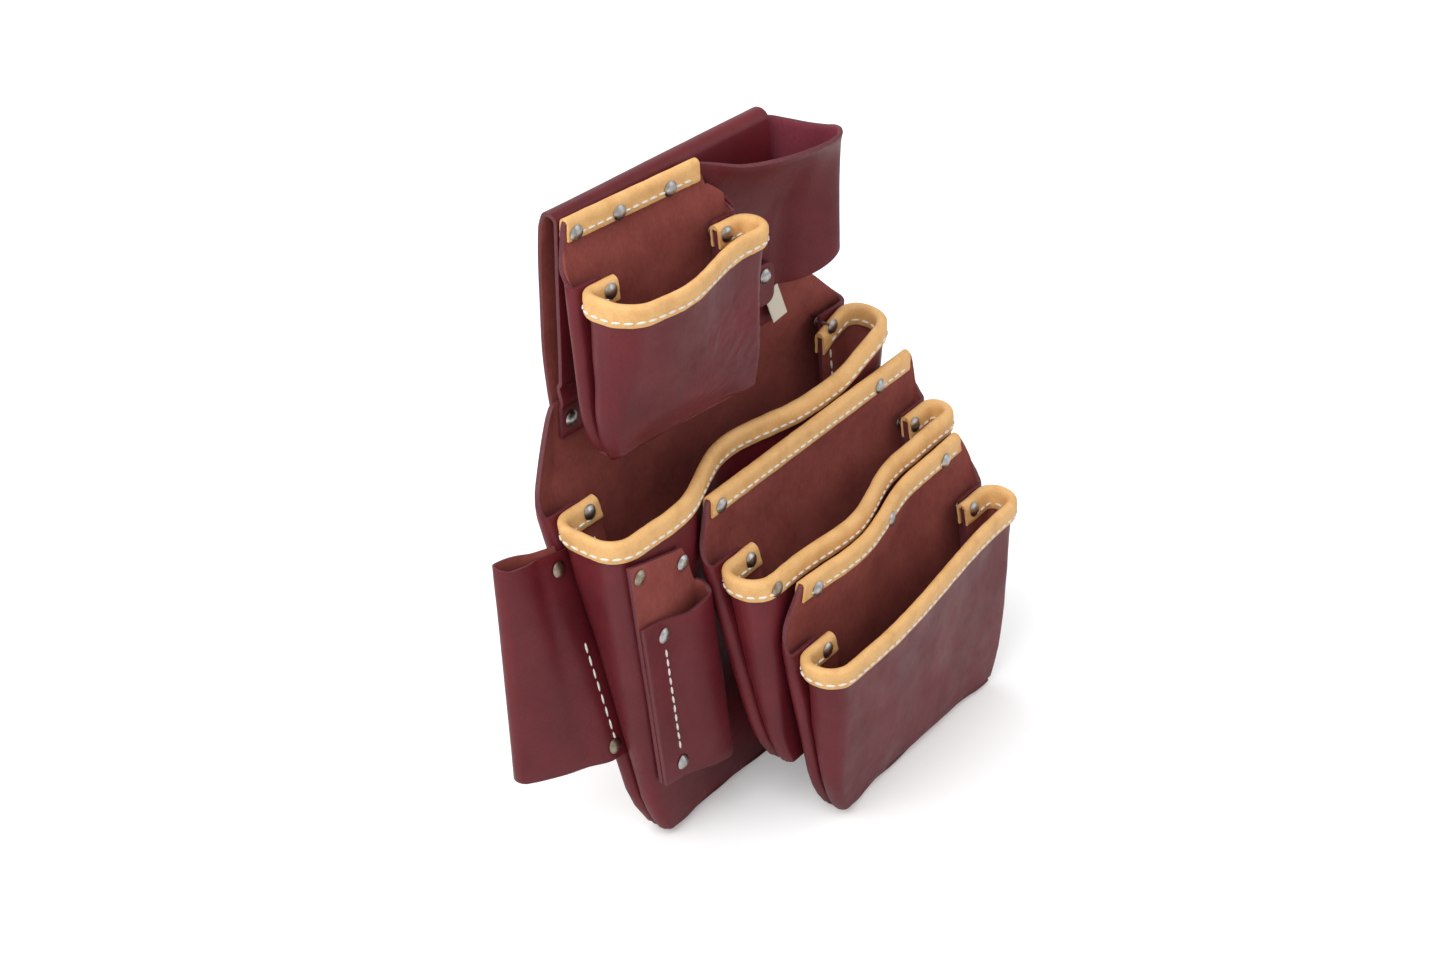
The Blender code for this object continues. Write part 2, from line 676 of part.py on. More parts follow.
def build_loop(shop: Workshop):
    """Bend the side loop: riveted on the tunnel's face, round to the right, and back inside the tunnel."""
    on = TUNNEL_FRONT - TIGHT
    inside = TUNNEL_REAR - TIGHT - CLEAR
    slack = TUNNEL_REAR - TIGHT - LOOP_SLACK
    stations = [
        ((-0.014, on, 0.3322), (-0.014, on, 0.300)),
        ((0.000, on, 0.3322), (0.000, on, 0.288)),
        ((0.013, on, 0.3318), (0.013, on, 0.277)),
        ((0.025, on - 0.0060, 0.3290), (0.027, on, 0.265)),
        ((0.038, on - 0.0145, 0.3255), (0.041, on, 0.254)),
        ((0.052, on - 0.0220, 0.3250), (0.055, on, 0.245)),
        ((0.066, on - 0.0270, 0.3250), (0.069, on, 0.2395)),
        ((0.079, on - 0.0295, 0.3250), (0.0805, on, 0.2385)),
        ((0.090, on - 0.0298, 0.3250), (0.0905, on - 0.0085, 0.240)),
        ((0.098, on - 0.0280, 0.3250), (0.0985, on - 0.0145, 0.243)),
        ((0.1035, on - 0.0235, 0.3255), (0.1035, on - 0.0155, 0.246)),
        ((0.1055, on - 0.0170, 0.3265), (0.1055, on - 0.0130, 0.250)),
        ((0.1035, on - 0.0105, 0.3280), (0.1040, on - 0.0070, 0.254)),
        ((0.0980, on - 0.0040, 0.3290), (0.0990, on - 0.0010, 0.258)),
        ((0.0910, on + 0.0030, 0.3285), (0.0930, on + 0.0050, 0.262)),
        ((0.0830, inside - 0.0022, 0.3255), (0.0860, inside - 0.0016, 0.266)),
        ((0.0740, inside, 0.3200), (0.0770, slack, 0.270)),
        ((0.0630, inside, 0.3170), (0.0640, slack, 0.273)),
        ((LOOP_REAR_TAB, inside, 0.3150), (LOOP_REAR_TAB, slack, 0.275)),
    ]
    rows = []
    for share in (0, 0.15, 0.35, 0.6, 0.8, 1):
        row = []
        for top, bottom in stations:
            x = mix(bottom[0], top[0], share)
            y = mix(bottom[1], top[1], share ** 3)
            row.append((x, y, mix(bottom[2], top[2], share)))
        rows.append(row)
    return shop.sheet("side_loop", rows, LEATHER, shop.leather)


def build_tab(shop: Workshop):
    """Cut the rounded tab that is riveted over the loop's lower corner, and the blank tag under it."""
    face = TUNNEL_FRONT - TIGHT - HALF - CLEAR
    tag_y = face - TAG_THICKNESS / 2
    tab_y = face - TAG_THICKNESS - CLEAR - HALF
    x, z = LOOP_RIVET
    rows = []
    for along in (0, 0.08, 0.25, 0.5, 0.75, 0.92, 1):
        round_off = math.sqrt(max(0.0, 1 - (2 * along - 1) ** 6))
        half = TAB_WIDTH / 2 * max(round_off, 0.45)
        height = z - 0.017 + TAB_LENGTH * along
        rows.append([(x + half * (c / 2 - 1), tab_y, height) for c in range(5)])
    tab = shop.sheet("loop_anchor_tab", rows, LEATHER, shop.leather)
    rows = []
    for along in (0, 0.33, 0.67, 1):
        down = TAG_LENGTH * (1 - along) - TAG_ABOVE
        centre_x = x + 0.45 * (down - 0.001)
        rows.append([(centre_x + TAG_WIDTH * (c / 2 - 0.5), tag_y, z - down) for c in range(3)])
    tag = shop.sheet("blank_tag", rows, TAG_THICKNESS, shop.cloth)
    return tab, tag


def build_sleeve(shop: Workshop):
    """Fold the flat tool sleeve: its tongue is caught in the main pouch's left seam."""
    close = SLEEVE_LEATHER + CLEAR
    rows = []
    for share in (0, 0.2, 0.4, 0.6, 0.8, 1):
        row = []
        for c in range(19):
            rise, drop = sleeve_edges(c)
            height = mix(SLEEVE_BOTTOM + drop, SLEEVE_TOP + rise, share)
            row.append((*sleeve_point(c, height, close), height))
        rows.append(row)
    return shop.sheet("tool_sleeve", rows, SLEEVE_LEATHER, shop.leather)


def sleeve_edges(column: int) -> tuple:
    """How much higher the sleeve's top and bottom are in a column than at its seam."""
    fold = 1 - abs(column - 9.5) / 9.5
    back = max(0, column - 9) / 9
    return 0.010 * smooth(fold) + 0.004 * back, 0.004 * smooth(fold)


def sleeve_point(column: int, height: float, close: float) -> tuple:
    """(x, y) of one column of the sleeve: tongue, front layer, left fold, rear layer."""
    level = MAIN.level(height)
    share = (height - SLEEVE_BOTTOM) / (SLEEVE_TOP - SLEEVE_BOTTOM)
    fold_x = mix(SLEEVE_FOLD_BOTTOM[0], SLEEVE_FOLD_TOP[0], share)
    fold_y = mix(SLEEVE_FOLD_BOTTOM[1], SLEEVE_FOLD_TOP[1], share)
    start = Vector((level.left - 0.010, level.seam))
    run = Vector((fold_x + SLEEVE_FOLD, fold_y)) - start
    back = Vector((-run.y, run.x)).normalized()
    back = back if back.y > 0 else -back
    if column <= 2:
        x = level.left + SLEEVE_TONGUE - column * (SLEEVE_TONGUE + 0.001) / 2
        return x, level.seam + MAIN.shear(x, height)
    if column <= 7:
        along = (column - 3) / 4
        spread = smooth((along - 0.1) / 0.6)
        spot = start + run * along - back * (SLEEVE_FOLD - close / 2) * spread
        return tuple(spot)
    if column <= 11:
        turn = math.pi * (column - 7) / 5
        outwards = run.normalized()
        centre = start + run + back * (close / 2)
        spot = centre + outwards * SLEEVE_FOLD * math.sin(turn) - back * SLEEVE_FOLD * math.cos(turn)
        return tuple(spot)
    if column >= 17:
        return level.left - (0.0060 if column == 17 else 0.0015), level.seam + close
    along = 1 - (column - 12) / 4
    spread = smooth((along - 0.1) / 0.6)
    spot = start + Vector((0, close)) + run * along + back * (SLEEVE_FOLD - close / 2) * spread
    return tuple(spot)


def sheath_frame(height: float) -> tuple:
    """x of the sheath's left edge, and y of the main pouch's front there, at a height."""
    level = MAIN.level(height)
    left = level.left + SHEATH_INSET
    return left, level.front + MAIN.shear(left, height)


def build_sheath(shop: Workshop):
    """Fold the sheath: a tall backing on the main pouch, a right-hand fold, and a shorter front."""
    rows = []
    for share in (0, 0.25, 0.5, 0.75, 1):
        row = []
        for c in range(19):
            top, bottom = sheath_edges(c)
            height = mix(bottom, top, share)
            row.append((*sheath_point(c, height), height))
        rows.append(row)
    return shop.sheet("sheath", rows, LEATHER, shop.leather)


def sheath_edges(column: int) -> tuple:
    """Height of the sheath's upper and lower edge in a column."""
    if column <= 8:
        across = column / 8
        shoulder = smooth((across - 0.80) / 0.20)
        top = mix(SHEATH_TOP - SHEATH_TOP_DROP * across, SHEATH_MOUTH, shoulder * 0.8)
    elif column < 12:
        across = 1.0
        top = mix(SHEATH_MOUTH + 0.004, SHEATH_MOUTH - 0.001, (column - 9) / 2)
    else:
        across = 1 - (column - 12) / 6
        top = SHEATH_MOUTH - 0.001 - 0.006 * smooth(across) + 0.005 * smooth((across - 0.6) / 0.4)
    return top, SHEATH_BOTTOM - 0.006 * across


def sheath_point(column: int, height: float) -> tuple:
    """(x, y) of one column of the sheath: backing, right-hand fold, front layer."""
    left, y = sheath_frame(height)
    wide = SHEATH_WIDTH - SHEATH_FOLD
    base = y - TIGHT - CLEAR
    if column <= 8:
        x = left + wide * column / 8
        return x, base + 0.055 * (x - left)
    lean = 0.055 * wide
    if column < 12:
        turn = math.pi * (column - 8) / 4
        x = left + wide + SHEATH_FOLD * math.sin(turn)
        return x, base + lean - SHEATH_FOLD * (1 - math.cos(turn))
    across = 1 - (column - 12) / 6
    gap = mix(TIGHT, 2 * SHEATH_FOLD, smooth((across - 0.30) / 0.6))
    x = left + wide * across
    return x, base + 0.055 * (x - left) - gap


def build_hanger(shop: Workshop):
    """Cut the strip of leather that stays inside the small pouch's upper binding."""
    rows = []
    for height in (HANGER_TOP - BINDING_DROP, HANGER_TOP - BINDING - CLEAR):
        row = []
        for column in range(WING_COLUMNS - 1, BACK_COLUMNS - WING_COLUMNS + 1):
            row.append((*TOP.back_point(column, BACK_COLUMNS, height), height))
        rows.append(row)
    return shop.sheet("top_pouch_hanger", rows, LEATHER, shop.leather)


def set_rivet(shop: Workshop, name: str, x: float, z: float, near: float, far: float, slope: tuple,
              through: list) -> None:
    """Set a rivet by the y of its near face and far face; slope is dy/dx and dy/dz of the leather."""
    towards = Vector((slope[0], -1, slope[1])).normalized()
    grip = (far - near) * -towards.y
    shop.rivet(name, Vector((x, (near + far) / 2, z)), towards, grip, through)


def seam_rivet(shop: Workshop, pouch: Pouch, side: str, inwards: float, through: list) -> None:
    """Set the rivet that holds a mouth's bound end to the back's wing."""
    if side == "left":
        x = pouch.mouth.left + inwards
        z = pouch.mouth.height - 0.0058
    else:
        x = pouch.mouth.right - inwards
        z = pouch.mouth.height + pouch.rise - 0.0058
    find = pouch.level if side == "left" else pouch.right_level
    middle = find(z).seam + pouch.shear(x, z)
    tilt = (find(z + 0.002).seam - find(z - 0.002).seam) / 0.004
    lean = pouch.slope
    near = middle - SEAM_HALF - BOUND_HALF
    far = middle + SEAM_HALF + HALF
    set_rivet(shop, f"rivet_{pouch.name}_mouth_{side}", x, z, near, far, (lean, tilt), through)


def sheet_y(pouch: Pouch, which: str, x: float, z: float) -> float:
    """y of a pouch's back or front sheet at x and z, read between its columns."""
    columns = BACK_COLUMNS if which == "back" else FRONT_COLUMNS
    first = WING_COLUMNS - 1 if which == "back" else 11
    find = pouch.back_point if which == "back" else pouch.front_point
    line = [find(column, columns, z) for column in range(first, columns - first)]
    for (x0, y0), (x1, y1) in zip(line, line[1:]):
        if x0 <= x <= x1:
            return mix(y0, y1, (x - x0) / (x1 - x0))
    return line[0][1] if x < line[0][0] else line[-1][1]


def lap_rivet(shop: Workshop, name: str, x: float, z: float, outer: Pouch, inner: Pouch,
              through: list) -> None:
    """Set the rivet that holds the outer pouch's bound back on the inner pouch's front."""
    near = sheet_y(outer, "back", x, z) - BOUND_HALF
    lean = (sheet_y(outer, "back", x + 0.002, z) - sheet_y(outer, "back", x - 0.002, z)) / 0.004
    turn = (sheet_y(inner, "front", x + 0.002, z) - sheet_y(inner, "front", x - 0.002, z)) / 0.004
    far = sheet_y(inner, "front", x, z) + HALF + RIVET_BURR * abs(turn - lean)
    set_rivet(shop, name, x, z, near, far, (lean, 0), through)


def main() -> None:
    """Build the whole pouch."""
    clear_scene()
    shop = Workshop()
    made = {}
    for pouch in (MAIN, MIDDLE, FRONT, TOP):
        made[pouch.name + "_back"] = build_back(shop, pouch, pouch.name + "_back")
        made[pouch.name + "_front"] = build_front(shop, pouch, pouch.name + "_front")
        made[pouch.name + "_mouth"] = build_mouth_binding(shop, pouch, pouch.name + "_mouth_binding")
    made["top_bind"] = build_back_binding(shop, TOP, "top_pouch_back_binding", HANGER_TOP)
    made["middle_bind"] = build_back_binding(shop, MIDDLE, "middle_pouch_back_binding", BACK_CREST_MIDDLE)
    made["front_bind"] = build_back_binding(shop, FRONT, "front_pouch_back_binding", BACK_CREST_FRONT)
    tunnel = build_tunnel(shop)
    loop = build_loop(shop)
    tab, tag = build_tab(shop)
    sleeve = build_sleeve(shop)
    sheath = build_sheath(shop)
    hanger = build_hanger(shop)

    for pouch, inwards in ((MAIN, 0.0225), (MIDDLE, 0.0225), (FRONT, 0.0215), (TOP, 0.0160)):
        through = [made[pouch.name + "_mouth"], made[pouch.name + "_front"], made[pouch.name + "_back"]]
        seam_rivet(shop, pouch, "left", inwards, through)
        seam_rivet(shop, pouch, "right", inwards, through)

    through = [made["middle_bind"], made["middle_pouch_back"], made["main_pouch_front"]]
    for side, x in (("left", -0.024), ("right", 0.122)):
        lap_rivet(shop, f"rivet_middle_back_{side}", x, 0.1746, MIDDLE, MAIN, through)
    through = [made["front_bind"], made["front_pouch_back"], made["middle_pouch_front"]]
    for side, x in (("left", -0.006), ("middle", 0.068), ("right", 0.134)):
        lap_rivet(shop, f"rivet_front_back_{side}", x, 0.1368, FRONT, MIDDLE, through)

    for side, x in (("left", -0.0720), ("middle", -0.0430), ("right", -0.0080)):
        through = [made["top_bind"], hanger, tunnel]
        if side == "right":
            through.append(loop)
        near = sheet_y(TOP, "back", x, 0.3280) - BOUND_HALF
        set_rivet(shop, f"rivet_top_back_{side}", x, 0.3280, near, TUNNEL_FRONT + HALF, (-0.043, 0), through)

    x, z = LOOP_RIVET
    near = TUNNEL_FRONT - TIGHT - HALF - CLEAR - TAG_THICKNESS - CLEAR - LEATHER
    set_rivet(shop, "rivet_loop_anchor", x, z, near, TUNNEL_FRONT + HALF, (0, 0), [tab, tag, loop, tunnel])
    x, z = LOOP_REAR_RIVET
    set_rivet(shop, "rivet_loop_rear", x, z, TUNNEL_REAR - TIGHT - LOOP_SLACK - HALF, TUNNEL_REAR + HALF,
              (0, 0), [tunnel, loop])
    through = [tunnel, made["main_pouch_back"]]
    for side, x in (("left", -0.0715), ("right", 0.0820)):
        near = TUNNEL_LAP - TIGHT - HALF
        set_rivet(shop, f"rivet_tunnel_{side}", x, 0.2255, near, TUNNEL_LAP + TIGHT + HALF, (0, 0), through)

    for side, z in (("top", 0.1640), ("bottom", 0.0600)):
        level = MAIN.level(z)
        x = level.left - SLEEVE_RIVET
        tilt = (MAIN.mouth.seam - MAIN.bottom.seam) / MAIN.mouth.height
        near = level.seam - SLEEVE_LEATHER / 2 - CLEAR
        far = level.seam + 1.5 * SLEEVE_LEATHER + 2 * CLEAR
        set_rivet(shop, f"rivet_sleeve_{side}", x, z, near, far, (0, tilt), [sleeve])

    main_front = made["main_pouch_front"]
    for name, across, z, layers in (
        ("rivet_sheath_plate_left", 0.0100, 0.1690, 1), ("rivet_sheath_plate_right", 0.0360, 0.1590, 1),
        ("rivet_sheath_seam_top", SHEATH_RIVET, 0.1300, 2), ("rivet_sheath_seam_bottom", SHEATH_RIVET, 0.0480, 2),
    ):
        left, y = sheath_frame(z)
        x = left + across
        plate = y - TIGHT - CLEAR + 0.055 * across
        near = plate - HALF - (TIGHT if layers == 2 else 0)
        far = sheet_y(MAIN, "front", x, z) + HALF + CLEAR
        set_rivet(shop, name, x, z, near, far, (0.055, 0), [sheath, main_front])
    swinging = ["top_pouch_back", "top_pouch_front", "top_pouch_mouth_binding"]
    for side in ("left", "right"):
        swinging += [f"rivet_top_pouch_mouth_{side}", f"rivet_top_pouch_mouth_{side}_punch"]
    shop.hang(swinging)
    shop.centre()


main()
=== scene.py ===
"""Looks for the leather tool pouch: its leather, bindings, stitches and rivets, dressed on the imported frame."""
import logging
import math
from dataclasses import dataclass, field
from enum import Enum
from typing import Callable

import bpy
import numpy as np
from mathutils import Matrix, Vector, noise


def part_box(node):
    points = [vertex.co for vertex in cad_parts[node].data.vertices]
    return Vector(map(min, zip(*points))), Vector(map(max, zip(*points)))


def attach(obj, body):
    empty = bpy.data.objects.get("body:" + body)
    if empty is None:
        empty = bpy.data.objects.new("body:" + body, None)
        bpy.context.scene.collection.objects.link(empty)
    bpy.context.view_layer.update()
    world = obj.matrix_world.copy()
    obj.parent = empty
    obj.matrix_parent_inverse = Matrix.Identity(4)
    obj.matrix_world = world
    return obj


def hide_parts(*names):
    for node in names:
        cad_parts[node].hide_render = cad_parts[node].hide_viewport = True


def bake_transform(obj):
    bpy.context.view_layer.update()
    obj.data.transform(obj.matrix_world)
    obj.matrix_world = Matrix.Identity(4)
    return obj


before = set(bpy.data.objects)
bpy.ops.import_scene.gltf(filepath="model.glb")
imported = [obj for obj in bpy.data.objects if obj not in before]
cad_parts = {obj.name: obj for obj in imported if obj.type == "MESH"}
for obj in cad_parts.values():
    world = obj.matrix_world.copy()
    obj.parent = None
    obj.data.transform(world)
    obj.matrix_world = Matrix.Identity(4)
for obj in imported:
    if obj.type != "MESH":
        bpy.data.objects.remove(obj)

log = logging.getLogger("tool_pouch")
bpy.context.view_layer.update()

# Sizes shared with the frame, in metres
LEATHER = 0.0024
BINDING = 0.0012
SLEEVE_LEATHER = 0.0012
CLEAR = 0.0003
BINDING_CLEAR = 0.0005
BINDING_DROP = 0.0116
SEAM_HALF = (LEATHER + 0.0023) / 2
HALF = LEATHER / 2
BOUND_HALF = HALF + BINDING_CLEAR + BINDING
TIGHT = LEATHER + 2 * CLEAR
FLANGE_LOW = 0.004
WING = 11
BACK_COLUMNS = 30
FRONT_COLUMNS = 38
TUNNEL_FRONT = -0.0065
TUNNEL_REAR = 0.0045
TUNNEL_RIDGE = 0.3365
TUNNEL_LEFT = -0.078

# Sizes of the dressed pouch alone
CLOSED = HALF + 0.0001  # half the distance between two sheets that are sewn shut
TUCK = 0.0045  # height of the tuck at the bottom
TUCK_ROUND = 0.0050  # the same where the tuck is full
PINCH = 0.22  # share of the height where the front is drawn to the back
PINCH_DEPTH = 0.22  # how far it is drawn there
FOLD = 0.0030  # height of a binding's round fold
STITCH_LENGTH = 0.43  # half a stitch as a share of the pitch
STITCH_WIDE = 0.00072
STITCH_THICK = 0.00060
WHITE = (1, 1, 1)

Point = tuple[float, float, float]
Flat = tuple[float, float]
Colour = tuple[float, float, float]
Stops = list[tuple[float, Colour]]
Plan = Callable[[int, float], Flat]
Material = bpy.types.Material
Piece = bpy.types.Object
Socket = bpy.types.NodeSocket


def frame_shift() -> Vector:
    """Where the pouch's own drawing origin lies in the frame, read from the belt tunnel's box."""
    low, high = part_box("belt_tunnel")
    return Vector((low.x - TUNNEL_LEFT, high.y - TUNNEL_REAR - HALF, high.z - TUNNEL_RIDGE))


def smooth(value: float) -> float:
    """Ease a value from 0 to 1."""
    value = min(max(value, 0.0), 1.0)
    return value * value * (3 - 2 * value)


def mix(first: float, second: float, share: float) -> float:
    """Blend two numbers."""
    return first + (second - first) * share


def wave(points: list[Flat], place: float) -> float:
    """Read an eased curve.

    Args:
        points: (place, value) pairs in rising order.
        place: where to read it, from 0 to 1.

    Returns:
        The eased value.
    """
    if place <= points[0][0]:
        return points[0][1]
    for (start, low), (end, high) in zip(points, points[1:]):
        if place <= end:
            return mix(low, high, smooth((place - start) / (end - start)))
    return points[-1][1]


def even_steps(path: list[Flat], count: int) -> list[Flat]:
    """Read a flat path at even steps.

    Args:
        path: its points.
        count: how many points to read, both ends among them.

    Returns:
        The evenly spaced points.
    """
    lengths = [0.0]
    for (x0, y0), (x1, y1) in zip(path, path[1:]):
        lengths.append(lengths[-1] + math.hypot(x1 - x0, y1 - y0))
    points = [path[0]]
    for k in range(1, count - 1):
        goal = lengths[-1] * k / (count - 1)
        i = max(j for j in range(len(path) - 1) if lengths[j] <= goal)
        share = (goal - lengths[i]) / (lengths[i + 1] - lengths[i])
        points.append((mix(path[i][0], path[i + 1][0], share), mix(path[i][1], path[i + 1][1], share)))
    return points + [path[-1]]


def fine_line(points: list[Point], steps: int) -> list[Vector]:
    """Run a smooth curve through points.

    Args:
        points: the corners, in order.
        steps: pieces that each span is cut into.

    Returns:
        The finer line, through every corner.
    """
    spots = [Vector(point) for point in points]
    line = []
    for i in range(len(spots) - 1):
        a, b = spots[i], spots[i + 1]
        before = spots[i - 1] if i else a * 2 - b
        after = spots[i + 2] if i + 2 < len(spots) else b * 2 - a
        span = (b - a).length
        ahead = (b - before) * (span / max((b - a).length + (a - before).length, 1e-9))
        behind = (after - a) * (span / max((after - b).length + span, 1e-9))
        for k in range(steps):
            t = k / steps
            line.append(
                a * (2 * t**3 - 3 * t**2 + 1) + ahead * (t**3 - 2 * t**2 + t)
                + b * (3 * t**2 - 2 * t**3) + behind * (t**3 - t**2)
            )
    line.append(spots[-1])
    return line


class Side(Enum):
    """Which way a grid's own normals have to face."""

    KEEP = 1
    FLIP = -1


class Carrier(Enum):
    """The two bodies of the frame."""

    POUCH = "pouch"
    SWING = "top_pouch"


# ---------------------------------------------------------------- finishes


@dataclass(frozen=True)
class Pattern:
    """A noise on Object coordinates: its size per metre, octaves, share of the finer octaves, stretch and turn."""

    scale: float
    detail: float
    rough: float
    stretch: Point = (1, 1, 1)
    turn: Point = (0, 0, 0)


class Nodes:
    """A shorthand for wiring one material's nodes."""

    def __init__(self, name: str) -> None:
        """Start a material with a bare Principled shader."""
        self.material = bpy.data.materials.new(name)
        self.material.use_nodes = True
        self.tree = self.material.node_tree
        self.shader = self.tree.nodes["Principled BSDF"]
        self.place = self.tree.nodes.new("ShaderNodeTexCoord").outputs["Object"]

    def add(self, kind: str, source: Socket, into: str, **values: float | Point) -> bpy.types.Node:
        """Add a node behind a socket.

        Args:
            kind: the node's type, without its prefix.
            source: the socket that feeds it.
            into: name of the input that is fed.
            values: its constant inputs, with underscores for spaces.

        Returns:
            The node.
        """
        node = self.tree.nodes.new(f"ShaderNode{kind}")
        for key, value in values.items():
            node.inputs[key.replace("_", " ")].default_value = value
        self.tree.links.new(source, node.inputs[into])
        return node

    def shade(self, **parts: Socket | float) -> None:
        """Feed the shader's inputs, named with underscores for spaces, by a socket or a constant."""
        for key, part in parts.items():
            target = self.shader.inputs[key.replace("_", " ")]
            if isinstance(part, float):
                target.default_value = part
            else:
                self.tree.links.new(part, target)

    def noise(self, pattern: Pattern) -> Socket:
        """Add a noise and give its Fac socket."""
        mapping = self.add("Mapping", self.place, "Vector", Scale=pattern.stretch, Rotation=pattern.turn)
        texture = self.add("TexNoise", mapping.outputs[0], "Vector", Scale=pattern.scale,
                           Detail=pattern.detail, Roughness=pattern.rough)
        return texture.outputs["Fac"]

    def cells(self, scale: float) -> Socket:
        """Add a net of cell edges and give its Distance socket."""
        texture = self.add("TexVoronoi", self.place, "Vector", Scale=scale)
        texture.feature = "DISTANCE_TO_EDGE"
        return texture.outputs["Distance"]

    def ramp(self, source: Socket, stops: Stops) -> Socket:
        """Colour a value by stops.

        Args:
            source: the value's socket.
            stops: (place, linear colour) for both ends.

        Returns:
            The Color socket.
        """
        node = self.add("ValToRGB", source, "Fac")
        for element, (place, colour) in zip(node.color_ramp.elements, stops):
            element.position = place
            element.color = (*colour, 1)
        return node.outputs["Color"]

    def span(self, source: Socket, low: float, high: float) -> Socket:
        """Map a noise's usual range to the one from low to high."""
        node = self.add("MapRange", source, "Value", From_Min=0.3, From_Max=0.7, To_Min=low, To_Max=high)
        return node.outputs["Result"]

    def multiply(self, first: Socket, second: Socket, share: float) -> Socket:
        """Multiply two colours.

        Args:
            first: lower colour's socket.
            second: upper colour's socket.
            share: how far the second one counts.

        Returns:
            The mixed colour's socket.
        """
        node = self.tree.nodes.new("ShaderNodeMix")
        node.data_type = "RGBA"
        node.blend_type = "MULTIPLY"
        node.inputs["Factor"].default_value = share
        self.tree.links.new(first, node.inputs["A"])
        self.tree.links.new(second, node.inputs["B"])
        return node.outputs["Result"]

    def bump(self, layers: list[tuple[Socket, float, float]]) -> None:
        """Stack bumps on the shader.

        Args:
            layers: (height socket, strength, distance in metres) for each layer.
        """
        below = None
        for height, strength, distance in layers:
            node = self.add("Bump", height, "Height", Strength=strength, Distance=distance)
            if below is not None:
                self.tree.links.new(below, node.inputs["Normal"])
            below = node.outputs["Normal"]
        self.shade(Normal=below)


@dataclass(frozen=True)
class Finish:
    """A finish: a cloudy tone, a fine nap over it, and bumps.

    Attributes:
        name: name of the material.
        cloud: pattern of the tone.
        tones: its stops.
        bumps: (pattern, or size of cells, strength, distance in metres) for each layer.
        rough: roughness, or the pattern with the range that it takes.
        nap: pattern, stops and share of what is multiplied over the tone.
        specular: level of the reflections.
        metallic: 1 for metal.
    """

    name: str
    cloud: Pattern
    tones: Stops
    bumps: list[tuple[Pattern | float, float, float]]
    rough: float | tuple[Pattern, float, float]
    nap: tuple[Pattern, Stops, float] | None = None
    specular: float = 0.5
    metallic: float = 0.0

    def build(self) -> Material:
        """Wire the finish."""
        n = Nodes(self.name)
        tone = n.ramp(n.noise(self.cloud), self.tones)
        if self.nap:
            pattern, stops, share = self.nap
            tone = n.multiply(tone, n.ramp(n.noise(pattern), stops), share)
        rough = self.rough
        if not isinstance(rough, float):
            pattern, low, high = rough
            rough = n.span(n.noise(pattern), low, high)
        n.shade(Base_Color=tone, Roughness=rough, Specular_IOR_Level=self.specular, Metallic=self.metallic)
        n.bump([(n.noise(source) if isinstance(source, Pattern) else n.cells(source), strength, distance)
                for source, strength, distance in self.bumps])
        return n.material


def toned(colour: Colour, factor: float) -> Colour:
    """A darker or lighter tone of a colour."""
    return tuple(min(part * factor, 1) for part in colour)


def waxed(name: str, dark: Colour, light: Colour, shine: float = 0.42, crease: float = 0.22) -> Finish:
    """The burgundy leather's waxed grain side.

    Args:
        name: name of the material.
        dark: its darker tone.
        light: its lighter tone.
        shine: roughness of the wax.
        crease: strength of the fine creases.

    Returns:
        The finish with its cells, pores, creases and worn shine.
    """
    pores = Pattern(900, 3, 0.6)
    creases = Pattern(75, 6, 0.62, (1.0, 1.0, 0.45), (0.5, 0.7, 0.3))
    return Finish(
        name, Pattern(22, 5, 0.6), [(0.25, dark), (0.75, light)],
        [(1100, 0.10, 0.0002), (pores, 0.16, 0.0003), (creases, crease, 0.0009)],
        (Pattern(60, 6, 0.65), shine - 0.06, shine + 0.12),
        (pores, [(0.30, (0.62, 0.60, 0.60)), (0.48, WHITE)], 0.55), specular=0.30,
    )


def nickel(name: str, colour: Colour) -> Finish:
    """Scuffed nickel plating in one colour."""
    stain = Pattern(420, 5, 0.65)
    return Finish(name, stain, [(0.3, toned(colour, 0.55)), (0.62, colour)],
                  [(Pattern(900, 4, 0.6), 0.12, 0.0003)], (stain, 0.42, 0.24), metallic=1.0)


def woven(name: str, colour: Colour) -> Material:
    """Wire the material of a fine plain weave in one colour."""
    n = Nodes(name)
    weave = n.add("TexWave", n.place, "Vector", Scale=450)
    weave.bands_direction = "Z"
    threads = weave.outputs["Fac"]
    n.shade(Base_Color=n.ramp(threads, [(0, toned(colour, 0.82)), (1, colour)]), Roughness=0.85)
    n.bump([(threads, 0.25, 0.0002)])
    return n.material


